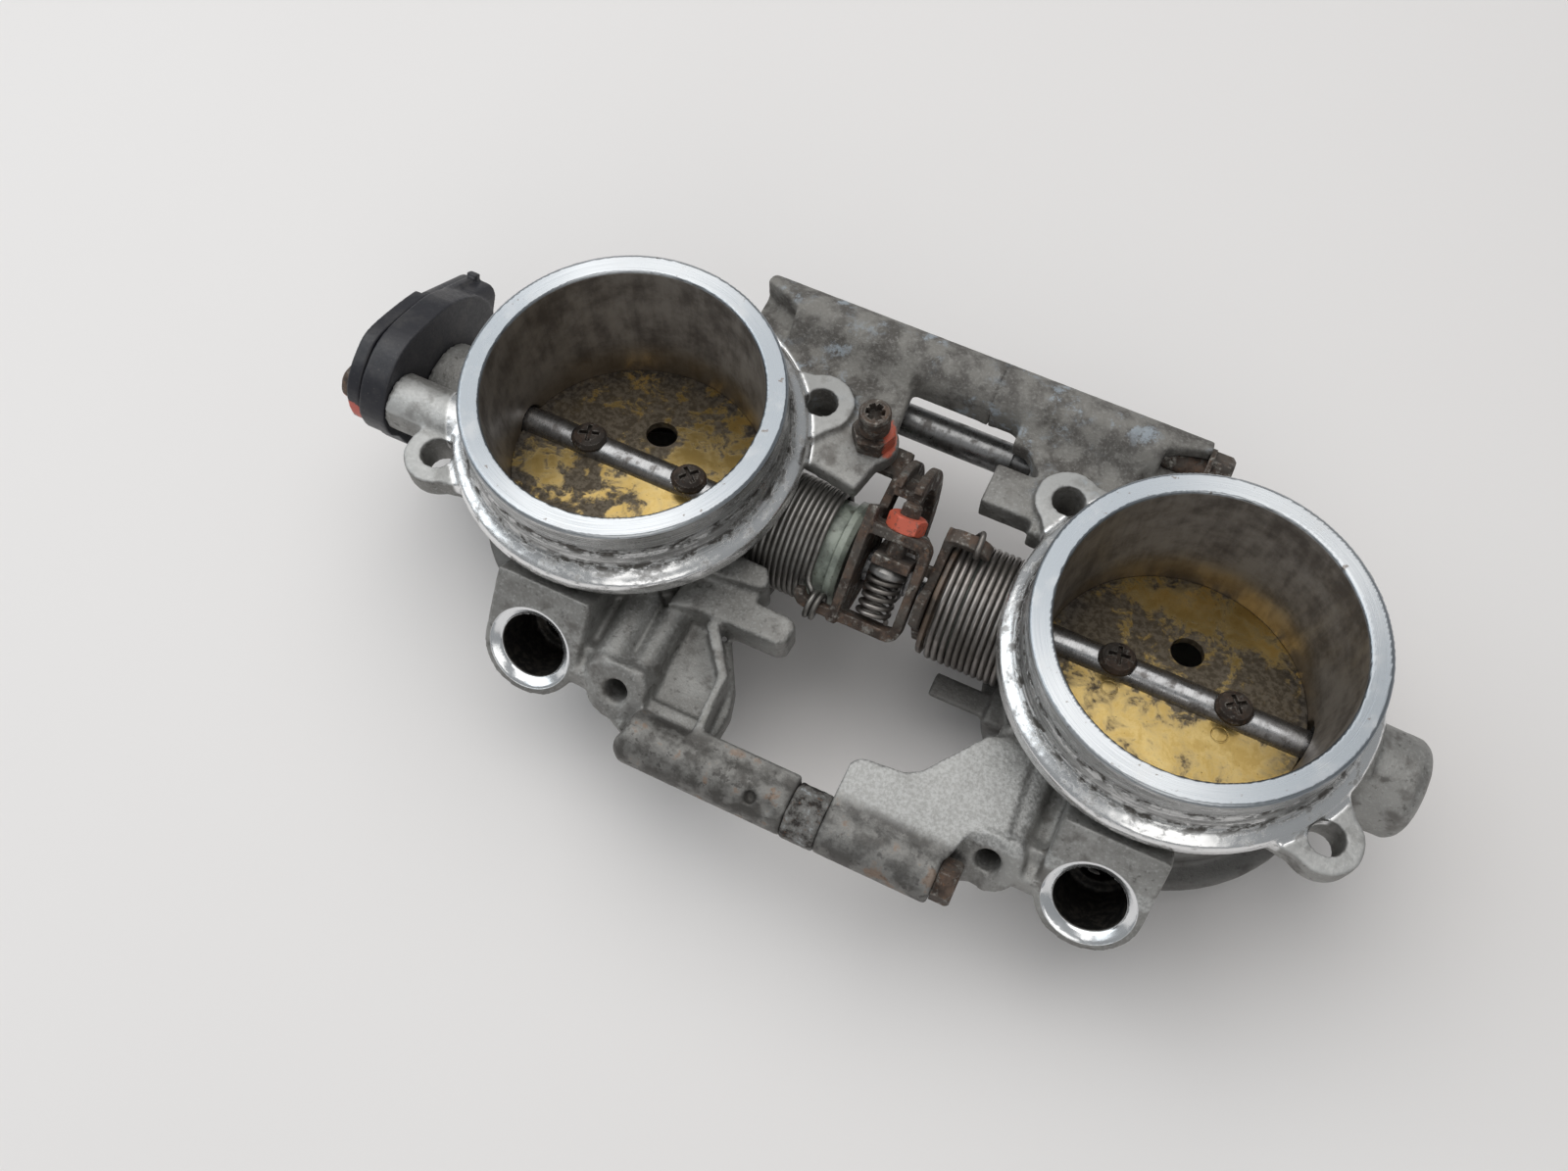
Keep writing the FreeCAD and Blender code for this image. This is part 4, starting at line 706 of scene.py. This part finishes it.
def tight_seam(points):
    """Both castings meet in one plane of the rear rail: keep that joint a hairline."""
    from_seam = np.abs(points[:, 0] - SEAM_X)
    dy, dz = points[:, 1] - RAIL_Y, points[:, 2] - RAIL_Z
    radius = np.hypot(dy, dz)
    top = (from_seam < 0.0013) & (dz > 0) & (radius > 0.0050) & (radius < 0.0066)
    stretch = RAIL_RADIUS / np.maximum(radius, 1e-6)
    points[top, 1] = RAIL_Y + dy[top] * stretch[top]
    points[top, 2] = RAIL_Z + dz[top] * stretch[top]
    points[top & (from_seam < 0.0005), 0] = SEAM_X
    return points


def step(value, low, high):
    t = np.clip((value - low) / (high - low), 0, 1)
    return t * t * (3 - 2 * t)


def cast_weight(points):
    """How far each point of a casting may soften: 1 as cast, 0 as machined."""
    x, y, z = points.T
    outward = np.abs(x - MID) - MID
    radius = np.hypot(outward, y)
    # air spigots, bores and outlets
    spigot = (1 - step(radius, 0.0335, 0.0345)) * step(z, -0.0125, -0.0115)
    bore = 1 - step(radius, 0.0287, 0.0293)
    outlet = 1 - step(z, -0.0500, -0.0490)
    weight = (1 - spigot) * (1 - bore) * (1 - outlet)
    # injector sockets
    along, across = socket_frame(y, z)
    spread = np.hypot(outward, across)
    weight *= 1 - (1 - step(spread, 0.0090, 0.0098)) * step(along, -0.022, -0.020)
    # screw holes in the lugs
    in_lug = (z < -0.010) & (z > -0.024)
    for out in (-1, 1):
        for side in (-1, 1):
            hole_x = MID + side * (MID + out * LUG_HOLE_X)
            distance = np.hypot(x - hole_x, y + out * LUG_HOLE_Y)
            weight *= np.where(in_lug, step(distance, 0.0034, 0.0045), 1.0)
    # rail joint, sensor seat and shaft hub bores
    weight *= np.where(y > 0.0345, step(np.abs(x - SEAM_X), 0.0008, 0.0022), 1.0)
    weight *= np.where(x < -0.0465, 0.0, 1.0)
    weight *= np.where(np.hypot(y, z - SHAFT_Z) < 0.0058, 0.0, 1.0)
    return weight


def waves(points, frequency, seed):
    """Mean of ten sine waves in random directions."""
    rng = np.random.RandomState(seed)
    total = np.zeros(len(points))
    for _ in range(10):
        direction = rng.normal(size=3)
        direction = direction / np.linalg.norm(direction) * frequency * (0.6 + 0.8 * rng.rand())
        total += np.sin(points @ direction + rng.rand() * 6.283)
    return total / 10.0


def soft_copy(node, label, voxel, shrink, rounds=3, is_casting=False, ripples=()):
    """An evenly meshed skin over a CAD node, with its corners rounded.

    shrink and rounds count the smoothing passes without and with kept volume;
    ripples holds (frequency, seed, height) of the surface unevenness.
    """
    source = nodes[node]
    skin = bpy.data.objects.new(label, source.data.copy())
    scene.collection.objects.link(skin)
    remesh = skin.modifiers.new("even", "REMESH")
    remesh.mode = "VOXEL"
    remesh.voxel_size = voxel
    remesh.use_smooth_shade = True
    depsgraph = bpy.context.evaluated_depsgraph_get()
    mesh = bpy.data.meshes.new_from_object(skin.evaluated_get(depsgraph), depsgraph=depsgraph)
    skin.modifiers.clear()
    skin.data = mesh

    count = len(mesh.vertices)
    points = np.empty(count * 3)
    mesh.vertices.foreach_get("co", points)
    points = points.reshape(-1, 3)
    edges = np.empty(len(mesh.edges) * 2, dtype=np.int64)
    mesh.edges.foreach_get("vertices", edges)
    edges = edges.reshape(-1, 2)
    weight = cast_weight(points) if is_casting else np.ones(count)
    points = relax(points, edges, weight, shrink, SHRINK)
    points = relax(points, edges, weight, rounds, KEEP_VOLUME)
    if is_casting:
        points = tight_seam(points)
    if ripples:
        normals = np.empty(count * 3)
        mesh.vertices.foreach_set("co", points.ravel())
        mesh.update()
        mesh.vertices.foreach_get("normal", normals)
        lift = sum(waves(points, frequency, seed) * height for frequency, seed, height in ripples)
        points = points + normals.reshape(-1, 3) * (lift * weight)[:, None]
    mesh.vertices.foreach_set("co", points.astype(np.float32).ravel())
    mesh.polygons.foreach_set("use_smooth", np.ones(len(mesh.polygons), dtype=bool))
    mesh.update()
    paint(skin, MATERIALS[OWN_MATERIAL.get(node) or slot_of[node]])
    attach(skin, source["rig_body"])
    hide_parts(node)


for side, seed in (("left", 3), ("right", 5)):
    soft_copy(side + "_housing", side + "_casting", voxel=0.00048, shrink=4, is_casting=True,
              ripples=((1900.0, seed, 0.00005), (5200.0, seed + 1, 0.00003)))
soft_copy("tps_housing", "sensor_body", voxel=0.00026, shrink=4)
soft_copy("tps_cover", "sensor_cover", voxel=0.00026, shrink=3)
for node, label, seed in (("left_lever", "left_lever_plate", 7),
                          ("right_lever", "right_lever_plate", 8),
                          ("cable_quadrant", "quadrant", 9)):
    soft_copy(node, label, voxel=0.00022, shrink=3, ripples=((5200.0, seed, 0.00004),))
soft_copy("front_tie_collar", "tie_collar", voxel=0.00024, shrink=2, rounds=2,
          ripples=((3000.0, 10, 0.00012), (7000.0, 11, 0.00006)))


# ------------------------------------------------------------------ return springs
WIRE_SIDES = 12
COIL_STEPS = 56     # points per turn


def wire(name, path, radius, material):
    """Round wire swept along a list of points, with closed, slightly domed ends."""
    path = np.array(path, float)
    count = len(path)
    tangents = np.gradient(path, axis=0)
    tangents /= np.linalg.norm(tangents, axis=1)[:, None]
    across = np.array([0.0, 0.0, 1.0] if abs(tangents[0][2]) < 0.9 else [0.0, 1.0, 0.0])
    normal = np.cross(tangents[0], across)
    normal /= np.linalg.norm(normal)
    verts, faces = [], []
    for point, tangent in zip(path, tangents):
        # carry the normal along, so that the wire doesn't twist
        normal = normal - tangent * (normal @ tangent)
        normal /= np.linalg.norm(normal)
        binormal = np.cross(tangent, normal)
        for k in range(WIRE_SIDES):
            a = 2 * math.pi * k / WIRE_SIDES
            verts.append(point + radius * (math.cos(a) * normal + math.sin(a) * binormal))
    for i in range(count - 1):
        for k in range(WIRE_SIDES):
            a, b = i * WIRE_SIDES + k, i * WIRE_SIDES + (k + 1) % WIRE_SIDES
            faces.append((a, b, b + WIRE_SIDES, a + WIRE_SIDES))
    tip = len(verts)
    last_ring = (count - 1) * WIRE_SIDES
    verts.append(path[0] - tangents[0] * radius * 0.35)
    verts.append(path[-1] + tangents[-1] * radius * 0.35)
    for k in range(WIRE_SIDES):
        following = (k + 1) % WIRE_SIDES
        faces.append((tip, following, k))
        faces.append((tip + 1, last_ring + k, last_ring + following))
    mesh = bpy.data.meshes.new(name)
    mesh.from_pydata([tuple(v) for v in verts], [], faces)
    mesh.polygons.foreach_set("use_smooth", np.ones(len(mesh.polygons), dtype=bool))
    mesh.update()
    obj = bpy.data.objects.new(name, mesh)
    scene.collection.objects.link(obj)
    paint(obj, material)
    return obj


def smooth_path(points, steps):
    """Catmull-Rom through the given points."""
    p = [np.array(point, float) for point in points]
    p = [2 * p[0] - p[1]] + p + [2 * p[-1] - p[-2]]
    path = []
    for i in range(1, len(p) - 2):
        for s in range(steps):
            t = s / steps
            path.append(0.5 * (2 * p[i] + (-p[i - 1] + p[i + 1]) * t
                               + (2 * p[i - 1] - 5 * p[i] + 4 * p[i + 1] - p[i + 2]) * t * t
                               + (-p[i - 1] + 3 * p[i] - 3 * p[i + 1] + p[i + 2]) * t ** 3))
    path.append(p[-2])
    return path


def on_shaft(x, y, z):
    """A point in mm from the middle of the shaft."""
    return (MID * 1000 + x) * MM, y * MM, SHAFT_Z + z * MM


def coil(x0, x1, turns, radius, start_angle):
    """A helix about the shaft, in mm from its middle."""
    count = int(turns * COIL_STEPS)
    path = []
    for i in range(count + 1):
        t = i / count
        a = start_angle + 2 * math.pi * turns * t
        path.append(on_shaft(x0 + (x1 - x0) * t, radius * math.cos(a), radius * math.sin(a)))
    return path


def left_spring():
    """A close coil, led into a double hook round the lever's ear."""
    turns, end_angle = 10.6, math.radians(150)
    main = coil(-28.0, -14.75, turns, 12.0, end_angle - 2 * math.pi * turns)
    ear_x, ear_y, ear_z = MID * 1000 - 11.6, -15.0, -26.9     # mm
    hook_radius, hook_turns, hook_pitch, hook_steps = 2.5, 2.15, 1.34, 80
    hook = []
    for i in range(hook_steps + 1):
        a = math.radians(15 - 360 * hook_turns * i / hook_steps)
        hook.append(((ear_x - 1.45 + hook_pitch * hook_turns * i / hook_steps) * MM,
                     (ear_y + hook_radius * math.cos(a)) * MM,
                     (ear_z + hook_radius * math.sin(a)) * MM))
    lead = smooth_path([main[-6], main[-1], hook[0], hook[4]], steps=10)
    spring = wire("left_torsion_spring", main[:-6] + lead[:-1] + hook[5:],
                  radius=0.62 * MM, material=MATERIALS["dark_spring"])
    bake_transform(spring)
    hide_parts("left_return_spring")


# the right spring's end above the coil, in mm from the middle of the shaft
RIGHT_HOOK = [
    (14.9, 3.7, 14.6), (14.9, 4.2, 16.2), (14.8, 6.2, 16.45), (14.5, 8.3, 15.9),
    (13.9, 8.9, 13.9), (13.0, 9.0, 11.4),
]
# its coil: start x, end x (mm from the middle of the shaft), turns
RIGHT_COIL = [(12.15, 15.05, 2.05), (15.05, 16.3, 0.70), (16.3, 27.5, 7.95)]


def right_spring():
    """A hook, two turns by the lever, a wider step, then the main coil."""
    coils, angle = [], math.radians(42)
    for x0, x1, turns in RIGHT_COIL:
        coils.append(coil(x0, x1, turns, 12.6, angle))
        angle += 2 * math.pi * turns
    first, gap, main = coils
    hook = smooth_path([on_shaft(*point) for point in RIGHT_HOOK] + [first[0], first[5]], steps=8)
    spring = wire("right_torsion_spring", hook[:-1] + first[6:-1] + gap[:-1] + main,
                  radius=0.66 * MM, material=MATERIALS["spring_steel"])
    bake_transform(spring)
    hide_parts("right_return_spring")


left_spring()
right_spring()


# ------------------------------------------------------------------ floor, lights, camera
def floor():
    half, cells = 3.0, 24
    z = cad_lo.z - 0.0002
    row = cells + 1
    ticks = [2 * half * i / cells - half for i in range(row)]
    verts = [(tick_x + MID, tick_y, z) for tick_y in ticks for tick_x in ticks]
    faces = [(j * row + i, j * row + i + 1, (j + 1) * row + i + 1, (j + 1) * row + i)
             for j in range(cells) for i in range(cells)]
    mesh = bpy.data.meshes.new("floor")
    mesh.from_pydata(verts, [], faces)
    obj = bpy.data.objects.new("floor", mesh)
    scene.collection.objects.link(obj)
    net = Net("floor_paint")
    net.set("Base Color", net.mix(net.noise(scale=6, detail=3, rough=0.5),
                                  (0.80, 0.775, 0.765), (0.83, 0.81, 0.80)))
    net.set("Roughness", 0.55)
    net.set("Specular IOR Level", 0.25)
    paint(obj, net.material)


def studio_world():
    world = bpy.data.worlds.new("studio")
    scene.world = world
    world.use_nodes = True
    colour, strength = world.node_tree.nodes["Background"].inputs[:2]
    colour.default_value = (0.93, 0.97, 1.0, 1.0)
    strength.default_value = 0.29


LIGHT_TARGET = Vector((MID, 0, -0.03))


def area_light(name, place, size, power, colour):
    """A square light aimed at the throttle bodies."""
    light = bpy.data.lights.new(name, "AREA")
    light.shape = "RECTANGLE"
    light.size = size
    light.size_y = size
    light.energy = power
    light.color = colour
    obj = bpy.data.objects.new(name, light)
    obj.location = place
    obj.rotation_mode = "QUATERNION"
    obj.rotation_quaternion = (LIGHT_TARGET - Vector(place)).to_track_quat("-Z", "Y")
    scene.collection.objects.link(obj)


def camera():
    data = bpy.data.cameras.new("camera")
    obj = bpy.data.objects.new("camera", data)
    scene.collection.objects.link(obj)
    right = (0.90147, 0.43261, -0.01436)
    up = (-0.38767, 0.82169, 0.41777)
    backward = (0.19253, -0.37104, 0.90844)
    obj.rotation_mode = "QUATERNION"
    obj.rotation_quaternion = Matrix((right, up, backward)).transposed().to_quaternion()
    obj.location = (0.03684 + MID, -0.12087, 0.2356)
    data.sensor_fit = "HORIZONTAL"
    data.sensor_width = 36.0
    data.lens = 32.603625
    data.clip_start = 0.01
    scene.camera = obj


floor()
studio_world()
area_light("overhead", place=(MID - 0.25, 0.35, 1.15), size=1.5, power=11.2,
           colour=(1.0, 0.985, 0.965))
area_light("window", place=(MID - 1.0, -0.15, 0.75), size=1.0, power=4.2,
           colour=(0.90, 0.96, 1.0))
area_light("front_fill", place=(MID + 0.5, -1.0, 0.9), size=0.9, power=2.9,
           colour=(1.0, 0.98, 0.95))
camera()
scene.view_settings.view_transform = "Standard"
scene.view_settings.look = "None"
